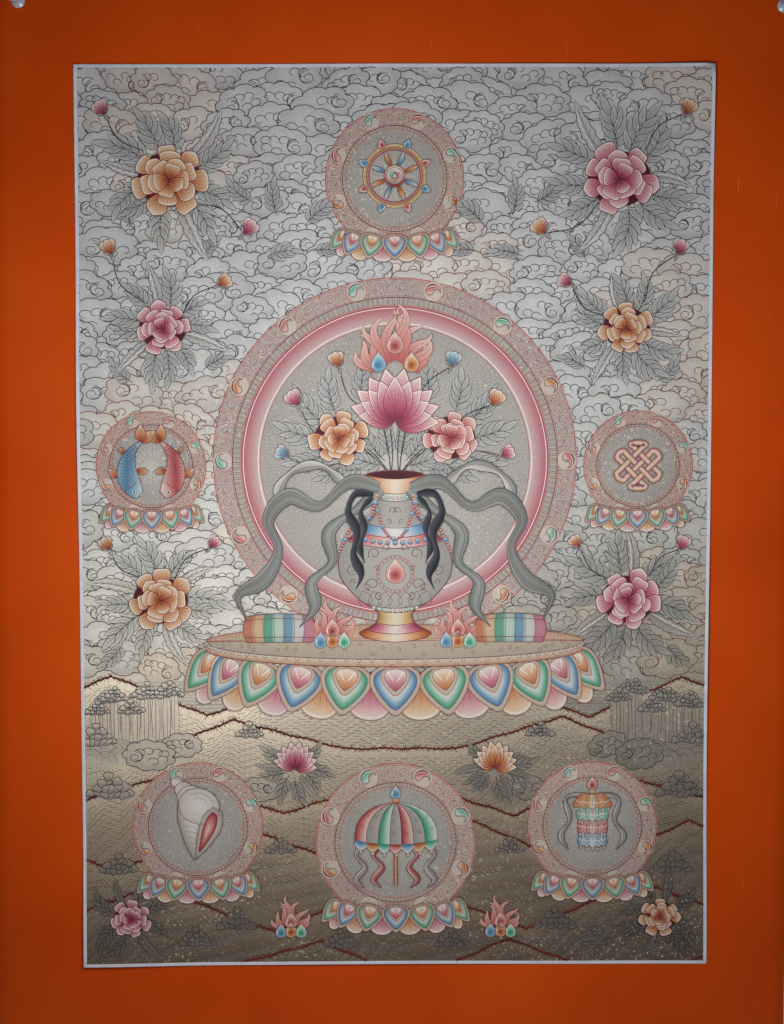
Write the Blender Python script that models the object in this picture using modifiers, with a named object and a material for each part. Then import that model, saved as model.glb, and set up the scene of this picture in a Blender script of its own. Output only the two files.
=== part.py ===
"""A painted canvas on a plain mount sheet, held to a wall by two push pins in the sheet's top corners.

Metres, +Z up. The origin is on the back of the mount sheet, midway across it and just below the pins, where the
sheet lies flat against the wall (the plane y = 0). The front faces -Y and both sheets hang down -Z.
"""

import math

import bmesh
import bpy

# Mount sheet: the stout plain sheet that carries the painting
SHEET_WIDTH = 0.634
SHEET_HEIGHT = 0.845
SHEET_THICKNESS = 0.0015
SHEET_CELLS = (28, 38)
TOP_ABOVE_PINS = 0.0205
FLAT_BELOW_PINS = 0.012
FADE_HEIGHT = 0.110

# Painted canvas: primed cotton cut to a rectangle, laid on the mount a little out of true
CANVAS_WIDTH = 0.500
CANVAS_HEIGHT = 0.7136
CANVAS_THICKNESS = 0.0010
CANVAS_CELLS = (24, 34)
CANVAS_CENTRE_BELOW_TOP = 0.420
CANVAS_TURN = math.radians(0.65)
SHEET_GAP = 0.0004

# Push pins: a spool-shaped plastic head on a steel needle
PIN_PLACES = {"left": (-0.2966, 0.0022), "right": (0.2989, 0.0051)}
HEAD_LENGTH = 0.0140
GRIP_RADIUS = 0.0046
WAIST_RADIUS = 0.0023
FOOT_RADIUS = 0.0052
NEEDLE_RADIUS = 0.00055
NEEDLE_IN_HEAD = 0.0070
NEEDLE_IN_WALL = 0.0090
NEEDLE_TAPER = 0.0030
CLEARANCE = 0.0003
HOLE_RADIUS = NEEDLE_RADIUS + 0.00035
HEAD_STEPS = 24
NEEDLE_STEPS = 12

# Where the mount sheet swells off the wall: centre x, centre z, half width, half height, height
SHEET_SWELLS = (
    (-0.17, -0.56, 0.24, 0.30, 0.0026),
    (0.20, -0.62, 0.20, 0.26, 0.0020),
    (0.03, -0.34, 0.34, 0.26, 0.0016),
    (-0.04, -0.86, 0.44, 0.18, 0.0024),
    (0.34, -0.83, 0.15, 0.20, 0.0036),
    (-0.33, -0.30, 0.12, 0.24, 0.0022),
)

# Where the canvas lifts off the mount, measured from its own centre: the same columns
CANVAS_LIFTS = (
    (-0.25, -0.357, 0.11, 0.12, 0.0040),
    (0.25, 0.357, 0.09, 0.10, 0.0030),
    (0.25, -0.11, 0.07, 0.17, 0.0026),
    (-0.25, 0.09, 0.06, 0.15, 0.0018),
    (-0.03, -0.357, 0.20, 0.07, 0.0020),
    (0.13, 0.357, 0.10, 0.05, 0.0012),
)

# How far each edge of the canvas bows in, and where along it: side, place from -1 to 1, half reach, depth
EDGE_BOWS = (
    ("right", -0.42, 0.60, 0.0019),
    ("left", 0.25, 0.40, -0.0006),
    ("bottom", -0.08, 0.75, 0.0011),
    ("top", 0.02, 0.60, -0.0005),
)

# Corner radii of the canvas: the top right corner is rubbed round
CORNER_ROUND = {"top left": 0.0006, "top right": 0.0024, "bottom left": 0.0006, "bottom right": 0.0008}

# Colours as linear red, green and blue, with roughness and metallic value
FINISHES = {
    "mount_sheet": ((0.52, 0.085, 0.006), 0.45, 0.0),
    "painted_canvas": ((0.42, 0.38, 0.31), 0.60, 0.0),
    "pin_plastic": ((0.50, 0.54, 0.62), 0.25, 0.0),
    "pin_steel": ((0.62, 0.62, 0.63), 0.30, 1.0),
}


def clear_scene():
    for obj in list(bpy.data.objects):
        bpy.data.objects.remove(obj, do_unlink=True)


def collection_named(name):
    made = bpy.data.collections.new(name)
    bpy.context.scene.collection.children.link(made)
    return made


def material_named(name):
    colour, roughness, metallic = FINISHES[name]
    material = bpy.data.materials.new(name)
    material.use_nodes = True
    shader = material.node_tree.nodes["Principled BSDF"]
    shader.inputs["Base Color"].default_value = (*colour, 1.0)
    shader.inputs["Roughness"].default_value = roughness
    shader.inputs["Metallic"].default_value = metallic
    return material


def hump(distance):
    """A smooth hump: 1 at distance 0, down to 0 at distance 1 and beyond."""
    return math.cos(0.5 * math.pi * min(abs(distance), 1.0)) ** 2


def swell(x, z, rows):
    """The sum of the table's humps at a point."""
    return sum(height * hump((x - cx) / wide) * hump((z - cz) / tall) for cx, cz, wide, tall, height in rows)


def sheet_back(x, z):
    """The mount sheet's back: flat on the wall at the pins, and swelling off it lower down."""
    below = (-FLAT_BELOW_PINS - z) / FADE_HEIGHT
    fade = 1.0 - hump(below) if below > 0.0 else 0.0
    return -fade * swell(x, z, SHEET_SWELLS)


def canvas_point(u, v):
    """A point of the canvas' back for u and v from -1 to 1: bowed edges, turned, and laid on the mount."""
    half_width = 0.5 * CANVAS_WIDTH
    half_height = 0.5 * CANVAS_HEIGHT
    across = u * half_width
    up = v * half_height
    for side, place, reach, depth in EDGE_BOWS:
        along = v if side in ("left", "right") else u
        inward = depth * hump((along - place) / reach)
        if side == "right":
            across -= inward * max(u, 0.0)
        elif side == "left":
            across += inward * max(-u, 0.0)
        elif side == "top":
            up -= inward * max(v, 0.0)
        else:
            up += inward * max(-v, 0.0)
    x = across * math.cos(CANVAS_TURN) - up * math.sin(CANVAS_TURN)
    z = across * math.sin(CANVAS_TURN) + up * math.cos(CANVAS_TURN) + TOP_ABOVE_PINS - CANVAS_CENTRE_BELOW_TOP
    y = sheet_back(x, z) - SHEET_THICKNESS - SHEET_GAP - swell(across, up, CANVAS_LIFTS)
    return x, y, z


def sheet_point(u, v):
    """A point of the mount sheet's back for u and v from -1 to 1."""
    x = 0.5 * SHEET_WIDTH * u
    z = TOP_ABOVE_PINS - 0.5 * SHEET_HEIGHT * (1.0 - v)
    return x, sheet_back(x, z), z


def add_object(name, mesh, collection, material=None):
    obj = bpy.data.objects.new(name, mesh)
    collection.objects.link(obj)
    if material:
        mesh.materials.append(material)
    return obj


def sheet_object(name, cells, point, thickness, collection, material, corner_round=None):
    """A grid laid over the surface that point gives, thickened towards the front with Solidify."""
    cage = bmesh.new()
    bmesh.ops.create_grid(cage, x_segments=cells[0], y_segments=cells[1], size=1.0)
    corners = {}
    for vertex in cage.verts:
        u, v = vertex.co.x, vertex.co.y
        if abs(abs(u) - 1.0) < 1e-4 and abs(abs(v) - 1.0) < 1e-4:
            corners[("top" if v > 0 else "bottom") + (" right" if u > 0 else " left")] = vertex
        vertex.co = point(u, v)
    for place, radius in (corner_round or {}).items():
        bmesh.ops.bevel(cage, geom=[corners[place]], offset=radius, segments=3, profile=0.5, affect="VERTICES")
    mesh = bpy.data.meshes.new(name)
    cage.to_mesh(mesh)
    cage.free()
    mesh.shade_smooth()
    obj = add_object(name, mesh, collection, material)
    thick = obj.modifiers.new("Thickness", "SOLIDIFY")
    thick.thickness = thickness
    thick.offset = 1.0
    thick.use_even_offset = True
    return obj


def turned_object(name, profile, steps, place, collection, material):
    """A profile of radius and height turned round the pin's axis, with the height pointing out from the wall."""
    mesh = bpy.data.meshes.new(name)
    points = [(radius, 0.0, height) for radius, height in profile]
    mesh.from_pydata(points, [(i, i + 1) for i in range(len(points) - 1)], [])
    obj = add_object(name, mesh, collection, material)
    obj.location = (place[0], 0.0, place[1])
    obj.rotation_euler = (0.5 * math.pi, 0.0, 0.0)
    turn = obj.modifiers.new("Turn", "SCREW")
    turn.steps = steps
    turn.render_steps = steps
    turn.use_merge_vertices = True
    turn.merge_threshold = 1e-5
    turn.use_smooth_shade = True
    return obj


def arc(centre_radius, centre_height, size, start_degrees, end_degrees, count):
    """Points on a round edge of a turned profile, from one angle to another."""
    angles = [math.radians(start_degrees + (end_degrees - start_degrees) * i / count) for i in range(count + 1)]
    return [(centre_radius + size * math.cos(a), centre_height + size * math.sin(a)) for a in angles]


def pin_head_profile():
    """The head's outer side from the tip of its grip down to its foot, then the blind bore for the needle."""
    foot = SHEET_THICKNESS + CLEARANCE
    top = foot + HEAD_LENGTH
    grip_edge = 0.0007
    foot_edge = 0.0004
    profile = [(0.0, top), (0.6 * GRIP_RADIUS, top - 0.0001)]
    profile += arc(GRIP_RADIUS - grip_edge, top - 0.0002 - grip_edge, grip_edge, 80, -60, 4)
    profile += [
        (0.62 * GRIP_RADIUS, top - 0.0026),
        (WAIST_RADIUS + 0.0003, top - 0.0040),
        (WAIST_RADIUS, top - 0.0062),
        (WAIST_RADIUS + 0.0003, foot + 0.0028),
        (0.75 * FOOT_RADIUS, foot + 0.0015),
    ]
    profile += arc(FOOT_RADIUS - foot_edge, foot + foot_edge, foot_edge, 60, -90, 3)
    bore = NEEDLE_RADIUS + CLEARANCE
    profile += [(bore, foot), (bore, foot + NEEDLE_IN_HEAD + CLEARANCE), (0.0, foot + NEEDLE_IN_HEAD + CLEARANCE)]
    return profile


def needle_profile():
    """The needle from its blunt end in the head, through the sheet, to its point in the wall."""
    top = SHEET_THICKNESS + CLEARANCE + NEEDLE_IN_HEAD
    return [
        (0.0, top),
        (NEEDLE_RADIUS, top),
        (NEEDLE_RADIUS, NEEDLE_TAPER - NEEDLE_IN_WALL),
        (0.35 * NEEDLE_RADIUS, 0.2 * NEEDLE_TAPER - NEEDLE_IN_WALL),
        (0.0, -NEEDLE_IN_WALL),
    ]


def cut_pin_hole(sheet, side, place, cutters):
    """A round hole through the mount sheet, a little wider than the needle."""
    cage = bmesh.new()
    bmesh.ops.create_cone(
        cage, cap_ends=True, segments=NEEDLE_STEPS, radius1=HOLE_RADIUS, radius2=HOLE_RADIUS, depth=0.02
    )
    mesh = bpy.data.meshes.new("pin_hole_" + side)
    cage.to_mesh(mesh)
    cage.free()
    cutter = add_object("pin_hole_" + side, mesh, cutters)
    cutter.location = (place[0], 0.0, place[1])
    cutter.rotation_euler = (0.5 * math.pi, 0.0, 0.0)
    cutter.hide_render = True
    cutter.display_type = "WIRE"
    cut = sheet.modifiers.new("Pin hole " + side, "BOOLEAN")
    cut.operation = "DIFFERENCE"
    cut.solver = "EXACT"
    cut.object = cutter


def build():
    clear_scene()
    parts = collection_named("Pinned thangka painting")
    cutters = collection_named("Cutters")
    finishes = {name: material_named(name) for name in FINISHES}
    sheet = sheet_object(
        "mount_sheet", SHEET_CELLS, sheet_point, SHEET_THICKNESS, parts, finishes["mount_sheet"]
    )
    sheet_object(
        "painted_canvas",
        CANVAS_CELLS,
        canvas_point,
        CANVAS_THICKNESS,
        parts,
        finishes["painted_canvas"],
        CORNER_ROUND,
    )
    for side, place in PIN_PLACES.items():
        cut_pin_hole(sheet, side, place, cutters)
        turned_object(
            "pin_head_" + side, pin_head_profile(), HEAD_STEPS, place, parts, finishes["pin_plastic"]
        )
        turned_object(
            "pin_needle_" + side, needle_profile(), NEEDLE_STEPS, place, parts, finishes["pin_steel"]
        )


build()
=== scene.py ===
"""A painted thangka canvas on a smooth orange mount sheet, pinned at its top corners.

The painting is built up as it is painted: primed cotton, a silver-grey ground washed over it, flat pigment
in petals, bands and jewels, and brush lines on top. Front motifs are drawn first, and a board remembers what
they cover, so that what lies behind them stops at their edge. The canvas is worked in millimetres from its
centre, across to the right and up, and one function lays all of it on the hanging cloth.
"""

from math import cos, pi, radians, sin, sqrt

import bpy
import numpy as np
from mathutils import Matrix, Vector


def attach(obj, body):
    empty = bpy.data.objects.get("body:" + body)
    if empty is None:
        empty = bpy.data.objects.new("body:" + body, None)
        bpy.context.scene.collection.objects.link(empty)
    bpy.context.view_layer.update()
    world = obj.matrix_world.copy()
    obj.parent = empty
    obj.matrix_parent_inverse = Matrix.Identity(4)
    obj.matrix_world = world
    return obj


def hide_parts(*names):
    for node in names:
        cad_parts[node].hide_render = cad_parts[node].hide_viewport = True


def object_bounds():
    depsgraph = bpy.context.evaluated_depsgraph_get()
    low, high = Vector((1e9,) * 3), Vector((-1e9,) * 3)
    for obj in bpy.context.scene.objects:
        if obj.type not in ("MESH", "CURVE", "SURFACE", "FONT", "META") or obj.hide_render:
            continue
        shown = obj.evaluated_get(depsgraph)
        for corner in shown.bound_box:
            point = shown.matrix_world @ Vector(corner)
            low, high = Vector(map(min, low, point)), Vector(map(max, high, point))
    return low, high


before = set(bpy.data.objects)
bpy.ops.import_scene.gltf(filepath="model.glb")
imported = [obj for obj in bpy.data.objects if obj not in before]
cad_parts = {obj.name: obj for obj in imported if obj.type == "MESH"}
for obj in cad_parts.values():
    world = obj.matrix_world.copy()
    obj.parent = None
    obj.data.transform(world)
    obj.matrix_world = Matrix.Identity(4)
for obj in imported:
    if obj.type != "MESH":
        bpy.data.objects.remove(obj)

CAD_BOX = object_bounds()

# The mount sheet and the canvas, in metres, as they are cut and hung
SHEET_WIDTH = 0.634
SHEET_HEIGHT = 0.845
SHEET_THICKNESS = 0.0015
TOP_ABOVE_PINS = 0.0205
FLAT_BELOW_PINS = 0.012
FADE_HEIGHT = 0.11
CANVAS_WIDTH = 0.5
CANVAS_HEIGHT = 0.7136
CANVAS_THICKNESS = 0.001
CANVAS_CENTRE_BELOW_TOP = 0.42
CANVAS_TURN = radians(0.65)
SHEET_GAP = 0.0004

# Where the sheet swells off the wall: centre x, centre z, half width, half height, height, in metres
SHEET_SWELLS = (
    (-0.17, -0.56, 0.24, 0.3, 0.0026),
    (0.2, -0.62, 0.2, 0.26, 0.002),
    (0.03, -0.34, 0.34, 0.26, 0.0016),
    (-0.04, -0.86, 0.44, 0.18, 0.0024),
    (0.34, -0.83, 0.15, 0.2, 0.0036),
    (-0.33, -0.3, 0.12, 0.24, 0.0022),
)
# Where the canvas lifts off the sheet, from the canvas' own centre: the same columns
CANVAS_LIFTS = (
    (-0.25, -0.357, 0.11, 0.12, 0.004),
    (0.25, 0.357, 0.09, 0.1, 0.003),
    (0.25, -0.11, 0.07, 0.17, 0.0026),
    (-0.25, 0.09, 0.06, 0.15, 0.0018),
    (-0.03, -0.357, 0.2, 0.07, 0.002),
    (0.13, 0.357, 0.1, 0.05, 0.0012),
)
# How far each edge of the canvas bows in: side, place from -1 to 1, half reach, depth in metres
EDGE_BOWS = (
    ("right", -0.42, 0.6, 0.0019),
    ("left", 0.25, 0.4, -0.0006),
    ("bottom", -0.08, 0.75, 0.0011),
    ("top", 0.02, 0.6, -0.0005),
)
CORNER_ROUND = {"top left": 0.0006, "top right": 0.0024, "bottom left": 0.0006, "bottom right": 0.0008}

# The painted ground inside the white margin, in millimetres from the canvas' centre
MM = 0.001
MARGIN = 2.8
HALF_W = 0.5 * CANVAS_WIDTH / MM - MARGIN
HALF_H = 0.5 * CANVAS_HEIGHT / MM - MARGIN
FILM_PITCH = 2
CELL = 0.6
TAU = 2 * pi
QUARTER = 0.5 * pi
WAYS = (-1, 1)
rng = np.random.default_rng(11)


def hump(distance):
    """A smooth hump: the squared cosine, 1 at distance 0 and 0 from distance 1 on."""
    return np.cos(0.5 * np.pi * np.clip(np.abs(distance), 0, 1)) ** 2


def pair(across, up):
    """Points from their places across and up."""
    return np.stack(np.broadcast_arrays(across, up), -1)


def between(one, other):
    """An outline that goes along one line and back along the other."""
    return np.concatenate([one, other[::-1]])


def closed(line):
    """A line with its first point again at its end."""
    return np.concatenate([line, line[:1]])


def shares(count):
    """Even shares from 0 to 1."""
    return np.linspace(0, 1, count)


def swell(x, z, rows):
    """The sum of a table's humps, each the product of one across and one up."""
    return sum(height * hump((x - cx) / wide) * hump((z - cz) / tall) for cx, cz, wide, tall, height in rows)


def sheet_back(x, z):
    """The mount sheet's back: 0 at the pins, then minus the swells, faded in over FADE_HEIGHT."""
    below = np.maximum((-FLAT_BELOW_PINS - z) / FADE_HEIGHT, 0)
    return -(1 - hump(below)) * swell(x, z, SHEET_SWELLS)


def lay(points, height):
    """Canvas millimetres to metres in the room: edges bowed, turned, height mm above the cloth's front."""
    across = points[..., 0] * MM
    up = points[..., 1] * MM
    u = across / (0.5 * CANVAS_WIDTH)
    v = up / (0.5 * CANVAS_HEIGHT)
    shift_x = np.zeros_like(u)
    shift_z = np.zeros_like(u)
    for side, place, reach, depth in EDGE_BOWS:
        inward = depth * hump(((v if side in ("left", "right") else u) - place) / reach)
        if side in ("left", "right"):
            toward = -1 if side == "right" else 1
            shift_x += toward * inward * np.maximum(-toward * u, 0)
        else:
            toward = -1 if side == "top" else 1
            shift_z += toward * inward * np.maximum(-toward * v, 0)
    across = across + shift_x
    up = up + shift_z
    c, s = cos(CANVAS_TURN), sin(CANVAS_TURN)
    x = c * across - s * up
    z = s * across + c * up + TOP_ABOVE_PINS - CANVAS_CENTRE_BELOW_TOP
    back = sheet_back(x, z) - SHEET_THICKNESS - SHEET_GAP - swell(across, up, CANVAS_LIFTS)
    return np.stack([x, back - CANVAS_THICKNESS - height * MM, z], -1)


# Meshes

def rgb(code):
    """A hex sRGB colour as linear red, green and blue."""
    value = np.array([int(code[i:i + 2], 16) for i in (1, 3, 5)]) / 255
    return np.where(value <= 0.04045, value / 12.92, ((value + 0.055) / 1.055) ** 2.4)


def piece(name, points, faces, materials, flat_uv=None, colours=None, smooth=True):
    """A mesh object at the origin, with a flat UV and a colour for each point where they are given."""
    mesh = bpy.data.meshes.new(name)
    count, corners = faces.shape
    mesh.vertices.add(len(points))
    mesh.vertices.foreach_set("co", np.ascontiguousarray(points, np.float32).ravel())
    mesh.loops.add(count * corners)
    mesh.loops.foreach_set("vertex_index", faces.ravel().astype(np.int32))
    mesh.polygons.add(count)
    mesh.polygons.foreach_set("loop_start", np.arange(0, count * corners, corners, dtype=np.int32))
    mesh.polygons.foreach_set("use_smooth", np.full(count, smooth))
    mesh.update(calc_edges=True)
    if flat_uv is not None:
        layer = mesh.uv_layers.new(name="OFBake")
        layer.data.foreach_set("uv", flat_uv[faces.ravel()].astype(np.float32).ravel())
    if colours is not None:
        layer = mesh.color_attributes.new("tint", "FLOAT_COLOR", "POINT")
        full = np.concatenate([colours, np.ones((len(colours), 1))], 1)
        layer.data.foreach_set("color", full.astype(np.float32).ravel())
    for material in materials:
        mesh.materials.append(material)
    mesh.validate()
    obj = bpy.data.objects.new(name, mesh)
    bpy.context.scene.collection.objects.link(obj)
    return obj


def canvas_uv(points):
    """The canvas laid flat in the unit square, for the bake."""
    return points / (2 * HALF_W, 2 * HALF_H) + 0.5


def grid_faces(rows, columns, start=0):
    """The quads of a grid of points, row by row, facing the viewer with across right and up up."""
    index = start + np.arange(rows * columns).reshape(rows, columns)
    return np.stack([index[:-1, :-1], index[:-1, 1:], index[1:, 1:], index[1:, :-1]], -1).reshape(-1, 4)


def closed_sheet(name, front, back, materials):
    """A sheet closed round its rim, from the grids of points of its front and its back."""
    rows, columns = front.shape[:2]
    faces = grid_faces(rows, columns)
    behind = grid_faces(rows, columns, rows * columns)[:, ::-1]
    index = np.arange(rows * columns).reshape(rows, columns)
    around = np.concatenate([index[0, :-1], index[:-1, -1], index[-1, :0:-1], index[:0:-1, 0]])
    after = np.roll(around, -1)
    rim = np.stack([after, around, around + rows * columns, after + rows * columns], -1)
    points = np.concatenate([front.reshape(-1, 3), back.reshape(-1, 3)])
    return piece(name, points, np.concatenate([faces, behind, rim]), materials)


# Materials

# Metres from one ridge of the weave to the next, wider than real threads lie so that it shows
WEAVE_PITCH = 0.0011


class Finish:
    """A Principled material in the making. Its nodes work in metres, on the Object coordinates."""

    def __init__(self, name, **settings):
        self.material = bpy.data.materials.new(name)
        self.material.use_nodes = True
        self.shader = self.material.node_tree.nodes["Principled BSDF"]
        self.where = self.add("TexCoord").outputs["Object"]
        self.put(self.shader, {key.replace("_", " "): value for key, value in settings.items()})

    def put(self, node, inputs):
        """Sets a node's inputs by name or number, each to a node's output, a hex colour or a number."""
        for key, value in inputs.items():
            target = node.inputs[key]
            if isinstance(value, bpy.types.NodeSocket):
                self.material.node_tree.links.new(value, target)
            elif isinstance(value, str):
                target.default_value = (*rgb(value), 1)
            elif target.type == "RGBA":
                target.default_value = (value, value, value, 1)
            else:
                target.default_value = value
        return node

    def add(self, kind, inputs=None, **properties):
        """One node, with its properties and its inputs."""
        node = self.material.node_tree.nodes.new("ShaderNode" + kind)
        for key, value in properties.items():
            setattr(node, key, value)
        return self.put(node, inputs or {})

    def noise(self, size, detail=3, roughness=0.55, stretch=(1, 1, 1)):
        """Noise with grains of a real size in metres."""
        spread = self.add("Mapping", {"Vector": self.where, "Scale": stretch})
        grain = {"Vector": spread.outputs[0], "Scale": 1 / size, "Detail": detail, "Roughness": roughness}
        return self.add("TexNoise", grain).outputs["Fac"]

    def ramp(self, factor, *stops):
        """A colour ramp on a factor, from (place, colour) stops; a number is a grey."""
        node = self.add("ValToRGB", {"Fac": factor})
        elements = node.color_ramp.elements
        while len(elements) < len(stops):
            elements.new(0.5)
        for element, (place, colour) in zip(elements, stops):
            element.position = place
            element.color = (*(rgb(colour) if isinstance(colour, str) else (colour,) * 3), 1)
        return node.outputs["Color"]

    def mixed(self, factor, first, second, blend="MIX"):
        """Two colours mixed."""
        colours = {0: factor, 6: first, 7: second}
        return self.add("Mix", colours, data_type="RGBA", blend_type=blend).outputs[2]

    def calculated(self, first, second, operation="MULTIPLY"):
        """Two values multiplied, or added where operation says so."""
        return self.add("Math", {0: first, 1: second}, operation=operation).outputs[0]

    def weave(self):
        """Plain weave under the ground: the product of sine ridges along and across."""
        ridges = {"Vector": self.where, "Scale": TAU / WEAVE_PITCH / 20, "Distortion": 1.2}
        across, up = (self.add("TexWave", ridges, bands_direction=axis).outputs["Fac"] for axis in "XZ")
        return self.calculated(across, up)

    def tint(self):
        """The point colour of what is painted."""
        return self.add("Attribute", attribute_name="tint").outputs["Color"]

    def bump(self, height, distance, strength):
        """Relief of a real depth in metres, from a height between 0 and 1."""
        bumped = self.add("Bump", {"Height": height, "Distance": distance, "Strength": strength})
        self.put(self.shader, {"Normal": bumped.outputs[0]})

    def coloured(self, base, roughness=None):
        """The material, with its colour and where given its roughness from nodes."""
        self.put(self.shader, {"Base Color": base})
        if roughness is not None:
            self.put(self.shader, {"Roughness": roughness})
        return self.material


def coated_card():
    """Orange poster card: an even satin face with faint mottle, rubs and fine scratches."""
    card = Finish("coated_card", Roughness=0.46, Specular_IOR_Level=0.12)
    mottle = card.noise(0.16, 4)
    base = card.ramp(mottle, (0.3, "#BE4407"), (0.5, "#C84A08"), (0.72, "#CF510B"))
    fibre = card.noise(0.0011, 5, 0.7)
    base = card.mixed(0.1, base, card.ramp(fibre, (0.3, "#8E2C03"), (0.7, "#E0691C")), "OVERLAY")
    rub = card.ramp(card.noise(0.022, 6, 0.75), (0.7, 0), (0.8, 1))
    base = card.mixed(card.calculated(rub, 0.22), base, "#B03E10")
    scratch = card.ramp(card.noise(0.004, 2, 0.5, (1, 1, 0.1)), (0.765, 0), (0.8, 1))
    base = card.mixed(card.calculated(scratch, 0.45), base, "#D9824A")
    card.bump(fibre, 0.00006, 0.25)
    return card.coloured(base, card.ramp(mottle, (0.3, 0.42), (0.7, 0.5)))


def primed_cotton():
    """Cotton primed with chalk and glue and rubbed smooth: a chalky cool white, its weave just telling, with
    painted shade in the grooves between the threads.
    """
    cotton = Finish("primed_cotton", Roughness=0.72, Specular_IOR_Level=0.3)
    base = cotton.ramp(cotton.noise(0.012, 4), (0.3, "#D9DFEE"), (0.6, "#ECF0FA"))
    weave = cotton.weave()
    cotton.bump(weave, 0.00008, 0.5)
    # The colour is darker where the weave runs low: painted shade in the grooves between the threads.
    weave_groove_shade = cotton.ramp(weave, (0.2, "#A9AEB8"), (0.8, "#FFFFFF"))
    return cotton.coloured(cotton.mixed(0.18, base, weave_groove_shade, "MULTIPLY"))


def silver_ground():
    """The painted ground: washes kept as a point colour, with fine silver and gold grains."""
    ground = Finish("silver_ground", Roughness=0.5, Specular_IOR_Level=0.2)
    cloudy = ground.ramp(ground.noise(0.045, 5, 0.6), (0.25, 0.84), (0.75, 1))
    base = ground.mixed(1, ground.tint(), cloudy, "MULTIPLY")
    fine = ground.ramp(ground.noise(0.0016, 3, 0.8), (0.3, 0.78), (0.62, 1))
    base = ground.mixed(1, base, fine, "MULTIPLY")
    patchy = ground.ramp(ground.noise(0.1, 2), (0.42, 0), (0.62, 1))
    fleck = ground.ramp(ground.noise(0.0024, 2, 0.6), (0.6, 0), (0.68, 1))
    fleck = ground.calculated(fleck, ground.calculated(patchy, 0.25, "ADD"))
    base = ground.mixed(ground.calculated(fleck, 0.55), base, "#D9D2C2")
    ground.bump(ground.weave(), 0.00005, 0.35)
    return ground.coloured(base, ground.ramp(fleck, (0, 0.62), (1, 0.4)))


def ink(name, dark, light):
    """Brush ink: soot or pigment in glue, matt, thinning here and there along a stroke."""
    drawn = Finish(name, Roughness=0.6, Specular_IOR_Level=0.25)
    return drawn.coloured(drawn.ramp(drawn.noise(0.018), (0.35, dark), (0.68, light)))


def pigment():
    """Mineral pigment in glue: a chalky matt colour kept as a point colour, slightly grainy."""
    chalky = Finish("mineral_pigment", Roughness=0.62, Specular_IOR_Level=0.2)
    grain = chalky.ramp(chalky.noise(0.0013, 3, 0.75), (0.28, 0.6), (0.66, 0.74))
    return chalky.coloured(chalky.mixed(1, chalky.tint(), grain, "MULTIPLY"))


# The board, the brush and the paint

class Board:
    """What has been covered so far, cell by cell, and the colour washed into each cell."""

    def __init__(self):
        self.xs = np.arange(-HALF_W + 0.5 * CELL, HALF_W, CELL)
        self.zs = np.arange(-HALF_H + 0.5 * CELL, HALF_H, CELL)
        self.cover = np.zeros((len(self.zs), len(self.xs)), bool)
        self.wash = np.zeros((len(self.zs), len(self.xs), 3))

    def window(self, low, high):
        """The rows and columns between two corners."""
        columns = slice(*np.searchsorted(self.xs, (low[0], high[0])))
        rows = slice(*np.searchsorted(self.zs, (low[1], high[1])))
        return rows, columns

    def inside(self, outline):
        """The cells inside a closed outline: those with an odd number of its edges to their left."""
        rows, columns = self.window(outline.min(0), outline.max(0))
        zs = self.zs[rows]
        xs = self.xs[columns]
        if not len(zs) or not len(xs):
            return rows, columns, np.zeros((len(zs), len(xs)), bool)
        x1, z1 = outline.T
        x2, z2 = np.roll(outline, -1, 0).T
        hit = (z1 > zs[:, None]) != (z2 > zs[:, None])
        level = np.where(z1 == z2, 1, z2 - z1)
        crossing = x1 + (zs[:, None] - z1) * (x2 - x1) / level
        column = np.clip(np.ceil((crossing - xs[0]) / CELL), 0, len(xs)).astype(int)
        turns = np.zeros((len(zs), len(xs) + 1), int)
        row = np.broadcast_to(np.arange(len(zs))[:, None], hit.shape)
        np.add.at(turns, (row[hit], column[hit]), 1)
        return rows, columns, np.cumsum(turns, 1)[:, :-1] % 2 == 1

    def claim(self, outline, wash=None):
        """Covers an outline, and washes its free cells with one colour or with those for their points."""
        rows, columns, inside = self.inside(outline)
        if wash is not None:
            free = inside & ~self.cover[rows, columns]
            x, z = np.meshgrid(self.xs[columns], self.zs[rows])
            points = pair(x[free], z[free])
            self.wash[rows, columns][free] = rgb(wash) if isinstance(wash, str) else wash(points)
        self.cover[rows, columns] |= inside

    def free(self, points):
        """Which points lie on the ground and are not covered."""
        column = np.floor((points[:, 0] + HALF_W) / CELL).astype(int)
        row = np.floor((points[:, 1] + HALF_H) / CELL).astype(int)
        on = (column >= 0) & (column < len(self.xs)) & (row >= 0) & (row < len(self.zs))
        on[on] = ~self.cover[row[on], column[on]]
        return on


board = Board()
strokes = {}
patches = {"flower": [], "symbol": [], "band": []}

# Heights of the paint above the cloth in millimetres, from the ground up
FILM, LINES, BANDS, LEAVES, FLOWERS, SYMBOLS = 0.03, 0.06, 0.07, 0.1, 0.14, 0.26


def stations(points, step):
    """A line's points set again at an even step along it."""
    points = np.asarray(points, float)
    run = np.concatenate([[0], np.cumsum(np.hypot(*np.diff(points, axis=0).T))])
    count = max(int(run[-1] / step) + 1, 4)
    where = np.linspace(0, run[-1], count)
    return pair(np.interp(where, run, points[:, 0]), np.interp(where, run, points[:, 1]))


def toward(angle):
    """The unit vector at an angle, or at each of many angles."""
    return pair(np.cos(angle), np.sin(angle))


def distance(points, centre=(0, 0)):
    """How far each point lies from a centre."""
    return np.hypot(*(points - np.asarray(centre)).T)


def unit(vector):
    """A vector cut or stretched to length 1."""
    return vector / np.linalg.norm(vector)


def leftward(points):
    """The direction to the left at each point of a line."""
    slope = np.gradient(points, axis=0)
    slope /= np.maximum(np.hypot(*slope.T), 1e-9)[:, None]
    return slope[:, ::-1] * (-1, 1)


def bent(root, angle, length):
    """A spine that leaves root and follows the angles in even steps, and the direction to its left."""
    steps = np.concatenate([[[0, 0]], toward(angle)[:-1]])
    return np.array(root) + length / (len(angle) - 1) * np.cumsum(steps, 0), toward(angle + QUARTER)


def band_round(spine, side, half):
    """The left and right edge of a band that reaches half to each side of a spine, and their outline."""
    reach = side * half[:, None]
    left, right = spine + reach, spine - reach
    return left, right, between(left, right)


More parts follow.
